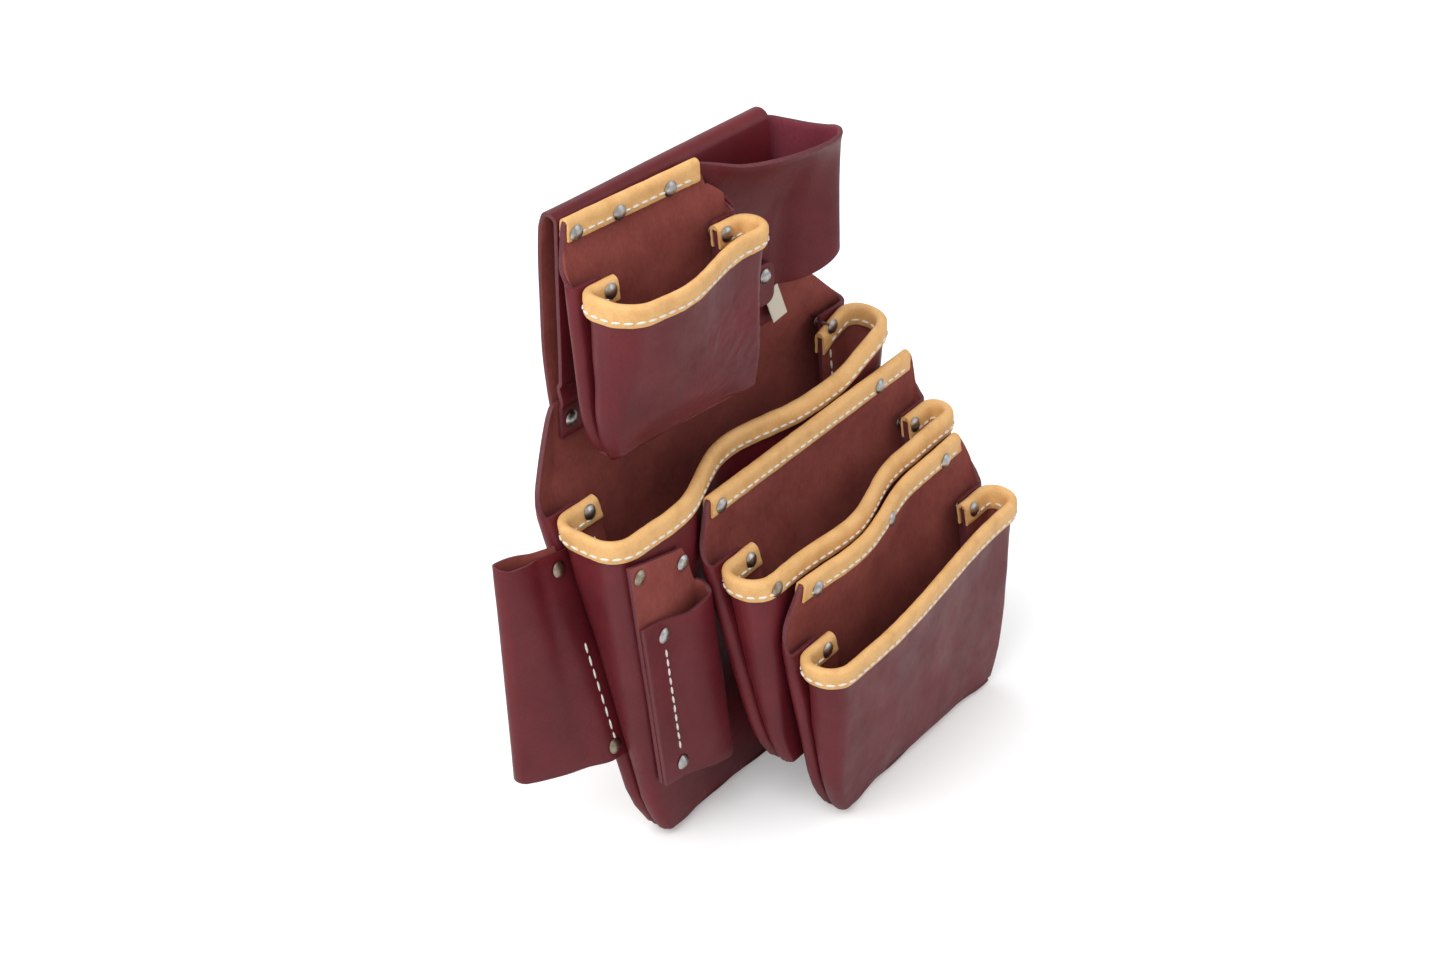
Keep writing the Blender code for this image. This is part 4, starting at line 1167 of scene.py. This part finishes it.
@dataclass
class BeltTunnel:
    """One strap folded over the belt."""

    bottom: float = 0.216
    seam: float = 0.020
    lap: float = -0.0030
    right_top: float = 0.078
    right_bottom: float = 0.090

    def profile(self) -> list[Point]:
        """The strap's side view, from the front edge over the belt to the rear edge."""
        lap, high, ridge = self.lap, self.bottom + self.seam, TUNNEL_RIDGE - HALF
        front, rear = TUNNEL_FRONT, TUNNEL_REAR
        middle = (front + rear) / 2
        pairs = [
            (lap - TIGHT, self.bottom), (lap - TIGHT, high - 0.004), (lap - TIGHT - 0.001, high),
            (front + 0.0015, high + 0.008), (front, high + 0.011), (front, 0.300), (front, ridge - 0.0038),
            (front + 0.0008, ridge - 0.0017), (front + 0.0024, ridge - 0.0004), (middle - 0.001, ridge),
            (middle + 0.002, ridge - 0.0008), (rear - 0.0022, ridge - 0.0035), (rear - 0.0008, ridge - 0.0085),
            (rear, mix(high, ridge, 0.74)), (rear - 0.0002, mix(high, ridge, 0.54)),
            (rear - 0.0008, mix(high, ridge, 0.26)),
            (lap + TIGHT + 0.001, high + 0.002), (lap + TIGHT, high - 0.004), (lap + TIGHT, self.bottom),
        ]
        return [(0, y, z) for y, z in pairs]

    def build(self, bench: Bench) -> None:
        """Build the strap and its lower stitches."""
        rows = []
        for spot in fine_line(self.profile(), 4):
            share = (spot.z - self.bottom) / (TUNNEL_RIDGE - self.bottom)
            right = mix(self.right_bottom, self.right_top, share)
            rows.append([Vector((mix(TUNNEL_LEFT, right, c / 40), spot.y, spot.z)) for c in range(41)])
        bench.leather("belt_tunnel_leather", rows, Side.KEEP, ["belt_tunnel"], 0.0003, 0.06)
        for label, sign in (("front", -1), ("rear", 1)):
            y = self.lap + sign * (TIGHT + HALF)
            line = [Vector((x / 1000, y, self.bottom + 0.0095)) for x in range(-66, 78, 4)]
            bench.sew(f"tunnel_{label}_stitches", line, [Vector((0, sign, 0))] * len(line), 0.0080)


@dataclass
class SideLoop:
    """The open loop at the right, its anchor tab and the blank tag."""

    rear_tab: float = 0.050
    rivet: Flat = (0.068, 0.250)
    slack: float = 0.0010

    def stations(self) -> list[tuple[Point, Point]]:
        """Lay out the strap.

        Returns:
            (upper, lower) edge points along it, from the front of the tunnel to its rear.
        """
        on, inside = TUNNEL_FRONT - TIGHT, TUNNEL_REAR - TIGHT - CLEAR
        slack = TUNNEL_REAR - TIGHT - self.slack
        return [
            ((-0.014, on, 0.3322), (-0.014, on, 0.300)), ((0.000, on, 0.3322), (0.000, on, 0.288)),
            ((0.013, on, 0.3318), (0.013, on, 0.277)), ((0.025, on - 0.0060, 0.3290), (0.027, on, 0.265)),
            ((0.038, on - 0.0145, 0.3255), (0.041, on, 0.254)), ((0.052, on - 0.0220, 0.3250), (0.055, on, 0.245)),
            ((0.066, on - 0.0270, 0.3250), (0.069, on, 0.2395)), ((0.079, on - 0.0295, 0.3250), (0.0805, on, 0.2385)),
            ((0.090, on - 0.0298, 0.3250), (0.0905, on - 0.0100, 0.2415)),
            ((0.0990, on - 0.0275, 0.3250), (0.1005, on - 0.0175, 0.2470)),
            ((0.1046, on - 0.0228, 0.3248), (0.1080, on - 0.0200, 0.2530)),
            ((0.1066, on - 0.0180, 0.3242), (0.1104, on - 0.0168, 0.2572)),
            ((0.1048, on - 0.0140, 0.3238), (0.1082, on - 0.0112, 0.2600)),
            ((0.0985, on - 0.0070, 0.3252), (0.1012, on - 0.0040, 0.2630)),
            ((0.0910, on + 0.0010, 0.3278), (0.0940, on + 0.0032, 0.2650)),
            ((0.0830, inside - 0.0030, 0.3302), (0.0865, inside - 0.0020, 0.2670)),
            ((0.0740, inside, 0.3290), (0.0770, slack, 0.270)), ((0.0630, inside, 0.3230), (0.0640, slack, 0.273)),
            ((self.rear_tab, inside, 0.3150), (self.rear_tab, slack, 0.275)),
        ]

    def build(self, bench: Bench) -> None:
        """Build the strap, the tab and the tag."""
        high = fine_line([top for top, _ in self.stations()], 6)
        low = fine_line([bottom for _, bottom in self.stations()], 6)
        rows = []
        for k in range(17):
            share = k / 16
            rows.append([
                Vector((mix(b.x, t.x, share), mix(b.y, t.y, share**3), mix(b.z, t.z, share)))
                for t, b in zip(high, low)
            ])
        bench.leather("side_loop_leather", rows, Side.KEEP, ["side_loop"], 0.0003, 0.05,
                      lining=bench.finishes.loop_lining)
        self.build_tab(bench)

    def build_tab(self, bench: Bench) -> None:
        """Build the rounded tab over the loop's corner and the tag under it.

        Args:
            bench: the bench.
        """
        x, z = self.rivet
        face = TUNNEL_FRONT - TIGHT - HALF - CLEAR
        rows = []
        for k in range(25):
            along = k / 24
            half = 0.0075 * max(math.sqrt(max(0.0, 1 - (2 * along - 1) ** 6)), 0.35)
            rows.append([Vector((x + half * (c / 6 - 1), face - 0.0008 - CLEAR - HALF, z - 0.017 + 0.024 * along))
                         for c in range(13)])
        bench.leather("loop_anchor_tab_leather", rows, Side.KEEP, ["loop_anchor_tab"], 0.0001, 0.02)
        rows = []
        for k in range(13):
            down = 0.0115 + 0.0200 * (1 - k / 12)
            spot_x = x + 0.0031 + 0.42 * down
            rows.append([Vector((spot_x + 0.0110 * (c / 6 - 0.5), face - 0.0004, z - down - 0.0020 * (0.5 - c / 6)))
                         for c in range(7)])
        tag = bench.cut_grid("blank_tag_cloth", rows)
        bench.thicken(tag, 0.0008, [bench.finishes.cloth] * 3)
        bench.hand_in(tag, ["blank_tag"])


@dataclass
class ToolSleeve:
    """The flat sleeve whose tongue is caught in the main pouch's left seam."""

    main: GussetPouch
    top: float = 0.171
    bottom: float = 0.052
    fold_top: Flat = (-0.144, -0.025)
    fold_bottom: Flat = (-0.140, -0.029)
    fold: float = 0.0045
    tongue: float = 0.008
    rivet: float = 0.0050

    def edges(self, column: int) -> Flat:
        """Height of a column's edges.

        Args:
            column: its number, from the tongue.

        Returns:
            The heights of its upper and lower edge.
        """
        fold = smooth(1 - abs(column - 9.5) / 9.5)
        return self.top + (0.010 * fold + 0.004 * max(0, column - 9) / 9), self.bottom + 0.004 * fold

    def point(self, column: int, height: float) -> Flat:
        """Where a column stands: tongue, front layer, left fold, rear layer.

        Args:
            column: its number, from the tongue.
            height: of the point.

        Returns:
            x and y.
        """
        level = self.main.level(height)
        close = SLEEVE_LEATHER + CLEAR
        share = (height - self.bottom) / (self.top - self.bottom)
        fold_x = mix(self.fold_bottom[0], self.fold_top[0], share)
        fold_y = mix(self.fold_bottom[1], self.fold_top[1], share)
        start = Vector((level.left - 0.010, level.seam))
        run = Vector((fold_x + self.fold, fold_y)) - start
        back = Vector((-run.y, run.x)).normalized()
        back = back if back.y > 0 else -back
        if column <= 2:
            x = level.left + self.tongue - column * (self.tongue + 0.001) / 2
            return x, level.seam + self.main.shear(x, height)
        if column <= 7:
            along = (column - 3) / 4
            spread = smooth((along - 0.1) / 0.6)
            return tuple(start + run * along - back * (self.fold - close / 2) * spread)
        if column <= 11:
            turn = math.pi * (column - 7) / 5
            centre = start + run + back * (close / 2)
            return tuple(centre + run.normalized() * self.fold * math.sin(turn) - back * self.fold * math.cos(turn))
        if column >= 17:
            return level.left - (0.0060 if column == 17 else 0.0015), level.seam + close
        along = 1 - (column - 12) / 4
        spread = smooth((along - 0.1) / 0.6)
        return tuple(start + Vector((0, close)) + run * along + back * (self.fold - close / 2) * spread)

    def build(self, bench: Bench) -> None:
        """Build the sleeve and the stitches that close it."""
        bench.leather("tool_sleeve_leather", folded_rows(self.point, self.edges), Side.FLIP, ["tool_sleeve"],
                      0.0003, 0.05, thickness=SLEEVE_LEATHER)
        line = []
        for k in range(30):
            z = mix(0.126, 0.056, k / 29)
            level = self.main.level(z)
            line.append(Vector((level.left - self.rivet + 0.0018, level.seam - SLEEVE_LEATHER / 2, z)))
        bench.sew("tool_sleeve_stitches", line, [Vector((-0.1, -1, 0.1))] * len(line), 0.0078)


@dataclass
class Sheath:
    """The folded sheath on the main pouch: tall backing, right-hand fold, shorter front."""

    main: GussetPouch
    top: float = 0.1770
    top_drop: float = 0.010
    mouth: float = 0.141
    bottom: float = 0.040
    width: float = 0.0500
    fold: float = 0.0042
    inset: float = 0.0035
    rivet: float = 0.0140
    lean: float = 0.055

    def place(self, height: float) -> Flat:
        """x of its left edge and y of the main pouch's front there."""
        level = self.main.level(height)
        left = level.left + self.inset
        return left, level.front + self.main.shear(left, height)

    def edges(self, column: int) -> Flat:
        """Height of a column's edges.

        Args:
            column: its number, from the backing's left edge.

        Returns:
            The heights of its upper and lower edge.
        """
        if column <= 8:
            spread = column / 8
            shoulder = smooth((spread - 0.90) / 0.10)
            top = mix(self.top - self.top_drop * spread, self.mouth, shoulder * 0.8)
        elif column < 12:
            spread = 1.0
            top = mix(self.mouth + 0.004, self.mouth - 0.001, (column - 9) / 2)
        else:
            spread = 1 - (column - 12) / 6
            top = self.mouth - 0.001 - 0.006 * smooth(spread) + 0.005 * smooth((spread - 0.6) / 0.4)
        return top, self.bottom - 0.006 * spread

    def point(self, column: int, height: float) -> Flat:
        """Where a column stands: backing, fold, front layer.

        Args:
            column: its number, from the backing's left edge.
            height: of the point.

        Returns:
            x and y.
        """
        left, y = self.place(height)
        wide = self.width - self.fold
        base = y - TIGHT - CLEAR
        if column <= 8:
            x = left + wide * column / 8
            return x, base + self.lean * (x - left)
        if column < 12:
            turn = math.pi * (column - 8) / 4
            x = left + wide + self.fold * math.sin(turn)
            return x, base + self.lean * wide - self.fold * (1 - math.cos(turn))
        spread = 1 - (column - 12) / 6
        gap = mix(TIGHT, 2 * self.fold, smooth((spread - 0.30) / 0.6))
        x = left + wide * spread
        return x, base + self.lean * (x - left) - gap

    def build(self, bench: Bench) -> None:
        """Build the sheath and its seam."""
        bench.leather("sheath_leather", folded_rows(self.point, self.edges), Side.FLIP, ["sheath"], 0.0002, 0.05)
        line = []
        for k in range(30):
            z = mix(0.124, 0.054, k / 29)
            left, y = self.place(z)
            spot_y = y - TIGHT - CLEAR + self.lean * self.rivet - TIGHT - HALF
            line.append(Vector((left + self.rivet, spot_y, z)))
        bench.sew("sheath_stitches", line, [Vector((0, -1, 0))] * len(line), 0.0060, margin=0.001)


@dataclass
class RivetSet:
    """Every rivet: each one is found on its frame node and replaced by a turned one."""

    middle: GussetPouch
    head: float = 0.0042
    dome: float = 0.0018
    aged: tuple[str, ...] = ("rivet_sleeve_bottom", "rivet_sleeve_top", "rivet_sheath_plate_left")
    moved: dict[str, Point] = field(default_factory=lambda: {
        "rivet_sheath_plate_left": (-0.0085, -0.0004, 0),
        "rivet_sheath_plate_right": (-0.0025, -0.0001, 0.0015),
        "rivet_tunnel_right": (-0.0170, 0, 0),
    })

    def measure(self, node: str) -> tuple[Vector, Vector, Vector]:
        """Find a rivet's axis from its frame node.

        Args:
            node: name of the node.

        Returns:
            Its outward axis, the top of its dome and the bottom of its burr.
        """
        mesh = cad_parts[node].data
        mesh.calc_loop_triangles()
        areas: dict[tuple[int, int, int], float] = {}
        for triangle in mesh.loop_triangles:
            key = tuple(round(part * 40) for part in triangle.normal)
            areas[key] = areas.get(key, 0) + triangle.area
        down = Vector(max(areas, key=lambda key: areas[key])).normalized()
        best = [t.normal for t in mesh.loop_triangles if t.normal.dot(down) > 0.999]
        axis = -sum(best, Vector()).normalized()
        reach = [vertex.co.dot(axis) for vertex in mesh.vertices]
        top = mesh.vertices[int(np.argmax(reach))].co.copy()
        return axis, top, top - axis * (max(reach) - min(reach))

    def replace_one(self, bench: Bench, node: str) -> None:
        """Turn a rivet in place of its frame node."""
        axis, top, foot = self.measure(node)
        if node in self.moved:
            top, foot = top + Vector(self.moved[node]), foot + Vector(self.moved[node])
        metal = bench.finishes.aged if node in self.aged else bench.finishes.nickel
        swings = node.startswith("rivet_top_pouch_mouth")
        piece = self.turn(bench, f"{node}_turned", axis, top, foot, metal)
        bench.hand_in(piece, [node], Carrier.SWING if swings else Carrier.POUCH)

    def turn(self, bench: Bench, name: str, axis: Vector, top: Vector, foot: Vector,
             metal: Material) -> Piece:
        """Spin one rivet.

        Args:
            bench: the bench.
            name: name of the piece.
            axis: its outward direction.
            top: the top of its dome.
            foot: the bottom of its burr.
            metal: its finish.

        Returns:
            The rivet.
        """
        length = (top - foot).length
        under = length - self.dome
        outline = [
            (0.0, length), (self.head * 0.30, length - 0.00008), (self.head * 0.55, length - 0.0003),
            (self.head * 0.78, length - 0.00075), (self.head * 0.92, length - 0.00125),
            (self.head, length - 0.0016), (self.head * 0.985, under), (0.0012, under), (0.0012, 0.0008),
            (0.0029, 0.0008), (0.0030, 0.0004), (0.0027, 0.0), (0.0010, 0.0), (0.0007, 0.0003), (0.0, 0.0003),
        ]
        bpy.ops.object.select_all(action="DESELECT")
        bpy.ops.mesh.primitive_circle_add(vertices=len(outline), radius=1, fill_type="NOTHING")
        piece = bpy.context.object
        piece.name = name
        for vertex, (radius, height) in zip(piece.data.vertices, outline):
            vertex.co = (radius, 0, height)
        with Editing():
            bpy.ops.mesh.spin(steps=28, angle=math.tau, center=(0, 0, 0), axis=(0, 0, 1))
            bpy.ops.mesh.select_all(action="SELECT")
            bpy.ops.mesh.remove_doubles(threshold=0.00001)
            bpy.ops.mesh.delete_loose()
            bpy.ops.mesh.select_all(action="SELECT")
            bpy.ops.mesh.normals_make_consistent(inside=False)
        piece.matrix_world = Matrix.Translation(foot) @ axis.to_track_quat("Z", "Y").to_matrix().to_4x4()
        bpy.ops.object.transform_apply(location=True, rotation=True, scale=True)
        piece.data.materials.append(metal)
        bench.shade(piece, 35)
        return piece

    def build(self, bench: Bench) -> None:
        """Turn every rivet, and the one on the front of the middle mouth that the frame doesn't have."""
        for node in sorted(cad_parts):
            if node.startswith("rivet_"):
                self.replace_one(bench, node)
        height = self.middle.mouth.height - 0.0072
        spot = Vector((*self.middle.front_point(11, height), height)) + bench.shift
        out = Vector((0.05, -1, 0))
        top, foot = spot + out * (BOUND_HALF + self.dome), spot - out * (BOUND_HALF + 0.0008)
        piece = self.turn(bench, "rivet_middle_mouth_front_turned", out.normalized(), top, foot, bench.finishes.aged)
        bench.hand_in(piece, [])


# ---------------------------------------------------------------- studio


@dataclass
class Studio:
    """Floor, lights and camera."""

    place: Point = (-1.0302, -0.9031, 0.9784)
    look: Point = (0.6573, 0.5496, -0.5155)
    lens: float = 77.9

    def stand(self, name: str, data: bpy.types.ID, spot: Vector, look: Vector) -> Piece:
        """Stand a light or a camera somewhere.

        Args:
            name: its name.
            data: the light or camera itself.
            spot: where it stands.
            look: the direction that it faces.

        Returns:
            Its object.
        """
        holder = bpy.data.objects.new(name, data)
        bpy.context.scene.collection.objects.link(holder)
        holder.location = spot
        holder.rotation_euler = look.to_track_quat("-Z", "Y").to_euler()
        return holder

    def build_floor(self) -> None:
        """Lay a plain pale floor that is a little lighter to the camera."""
        n = Nodes("pale_floor")
        paths = n.tree.nodes.new("ShaderNodeLightPath")
        glow = n.add("Math", paths.outputs["Is Camera Ray"], "Value")
        glow.operation = "MULTIPLY"
        glow.inputs[1].default_value = 0.24
        n.shader.inputs["Base Color"].default_value = (0.83, 0.83, 0.83, 1)
        n.shader.inputs["Emission Color"].default_value = (1, 1, 1, 1)
        n.shade(Roughness=0.9, Emission_Strength=glow.outputs[0])
        bpy.ops.mesh.primitive_plane_add(size=14, location=(0, 0, -0.0002))
        floor = bpy.context.object
        floor.name = "studio_floor"
        bpy.ops.object.transform_apply(location=True, rotation=True, scale=True)
        floor.data.materials.append(n.material)

    def lamp(self, name: str, spot: Point, size: float, watts: float) -> None:
        """Hang one square soft light that faces the pouch.

        Args:
            name: name of the light.
            spot: where it hangs.
            size: edge length.
            watts: its power.
        """
        light = bpy.data.lights.new(name, "AREA")
        light.shape = "SQUARE"
        light.size = size
        light.energy = watts
        self.stand(name, light, Vector(spot), Vector((0, 0, 0.15)) - Vector(spot))

    def build_air(self) -> None:
        """Fill the studio with plain light, white to the camera."""
        world = bpy.data.worlds.new("studio_air")
        world.use_nodes = True
        tree = world.node_tree
        air = tree.nodes["Background"]
        air.inputs["Color"].default_value = (1, 1, 1, 1)
        paths = tree.nodes.new("ShaderNodeLightPath")
        level = tree.nodes.new("ShaderNodeMapRange")
        level.inputs["To Min"].default_value = 0.62
        level.inputs["To Max"].default_value = 1.0
        tree.links.new(paths.outputs["Is Camera Ray"], level.inputs["Value"])
        tree.links.new(level.outputs["Result"], air.inputs["Strength"])
        bpy.context.scene.world = world

    def build(self, bench: Bench) -> None:
        """Set up the whole studio."""
        self.build_floor()
        self.lamp("window", (-1.8, -0.1, 2.4), 2.4, 72)
        self.lamp("fill", (1.6, -2.2, 1.6), 2.4, 15)
        self.lamp("rear", (0.8, 2.2, 2.2), 2.0, 24)
        self.build_air()
        eye = bpy.data.cameras.new("photo_camera")
        eye.sensor_width = 36
        eye.lens = self.lens
        eye.clip_end = 50
        spot = Vector(self.place) + bench.shift
        bpy.context.scene.camera = self.stand("photo_camera", eye, spot, Vector(self.look))
        bpy.context.scene.view_settings.view_transform = "Standard"


def pouches() -> list[GussetPouch]:
    """Size the four pouches.

    Returns:
        The main, middle, front and small pouch.
    """
    main = GussetPouch(
        "main_pouch", Level(0.190, -0.105, 0.146, -0.0100, -0.0225, -0.0640),
        Level(0.0, -0.077, 0.122, -0.0525, -0.0595, -0.0665), 0.235, -0.080, 0.108, -0.0030, 0.055,
        rise=0.014, front_curl=0.013, top_slope=0.0, lift_end=0.213,
        front_wave=[(0, 0), (0.14, 0.0), (0.46, 0.0215), (0.72, 0.013), (1, 0.013)],
    )
    middle = BoundPouch(
        "middle_pouch", Level(0.152, -0.042, 0.163, -0.0600, -0.0730, -0.1000),
        Level(0.030, -0.024, 0.144, -0.0900, -0.0970, -0.1040), 0.1805, -0.031, 0.152, -0.0605, 0.09,
        wing_inset=0.008, right_shift=0.004,
        front_wave=[(0, 0), (0.12, 0), (0.36, -0.0030), (0.74, 0.0120), (1, 0.0135)],
    )
    front = BoundPouch(
        "front_pouch", Level(0.110, -0.029, 0.169, -0.1050, -0.1135, -0.1400),
        Level(0.0, -0.006, 0.151, -0.1110, -0.1180, -0.1250), 0.1435, -0.016, 0.151, -0.1082, 0.09,
        wing_inset=0.006, rear_curl=0.009, front_curl=0.014, right_shift=0.0125, seam_inwards=0.0215,
        front_wave=[(0, 0), (0.15, 0), (1, 0.0125)],
        back_wave=[(0, 0), (0.08, 0), (0.29, -0.0030), (0.70, 0.0120), (1, 0.0135)], back_fade=(0.030, 0.152),
    )
    small = HangingPouch(
        "top_pouch", Level(0.306, -0.083, 0.030, -0.0155, -0.0240, -0.0590),
        Level(0.216, -0.086, 0.021, -0.0290, -0.0360, -0.0430), 0.336 - BINDING_DROP - 0.0013, -0.077, 0.013,
        -0.0110, -0.043, wing_inset=0.006, rear_curl=0.008, front_curl=0.016, flange=0.014, seam_inwards=0.0160,
        front_wave=[(0, 0), (0.18, -0.001), (1, 0.015)], body=Carrier.SWING,
        worn=Vector((-0.005, -0.045, 0.252)),
    )
    return [main, middle, front, small]


def main() -> None:
    """Build, dress and light the whole pouch."""
    logging.basicConfig(level=logging.INFO, format="%(name)s: %(message)s")
    bench = Bench(Finishes(), frame_shift())
    made = pouches()
    for pouch in made:
        pouch.build(bench)
    for part in (BeltTunnel(), SideLoop(), ToolSleeve(made[0]), Sheath(made[0]), RivetSet(made[1]), Studio()):
        part.build(bench)


if __name__ == "__main__":
    main()
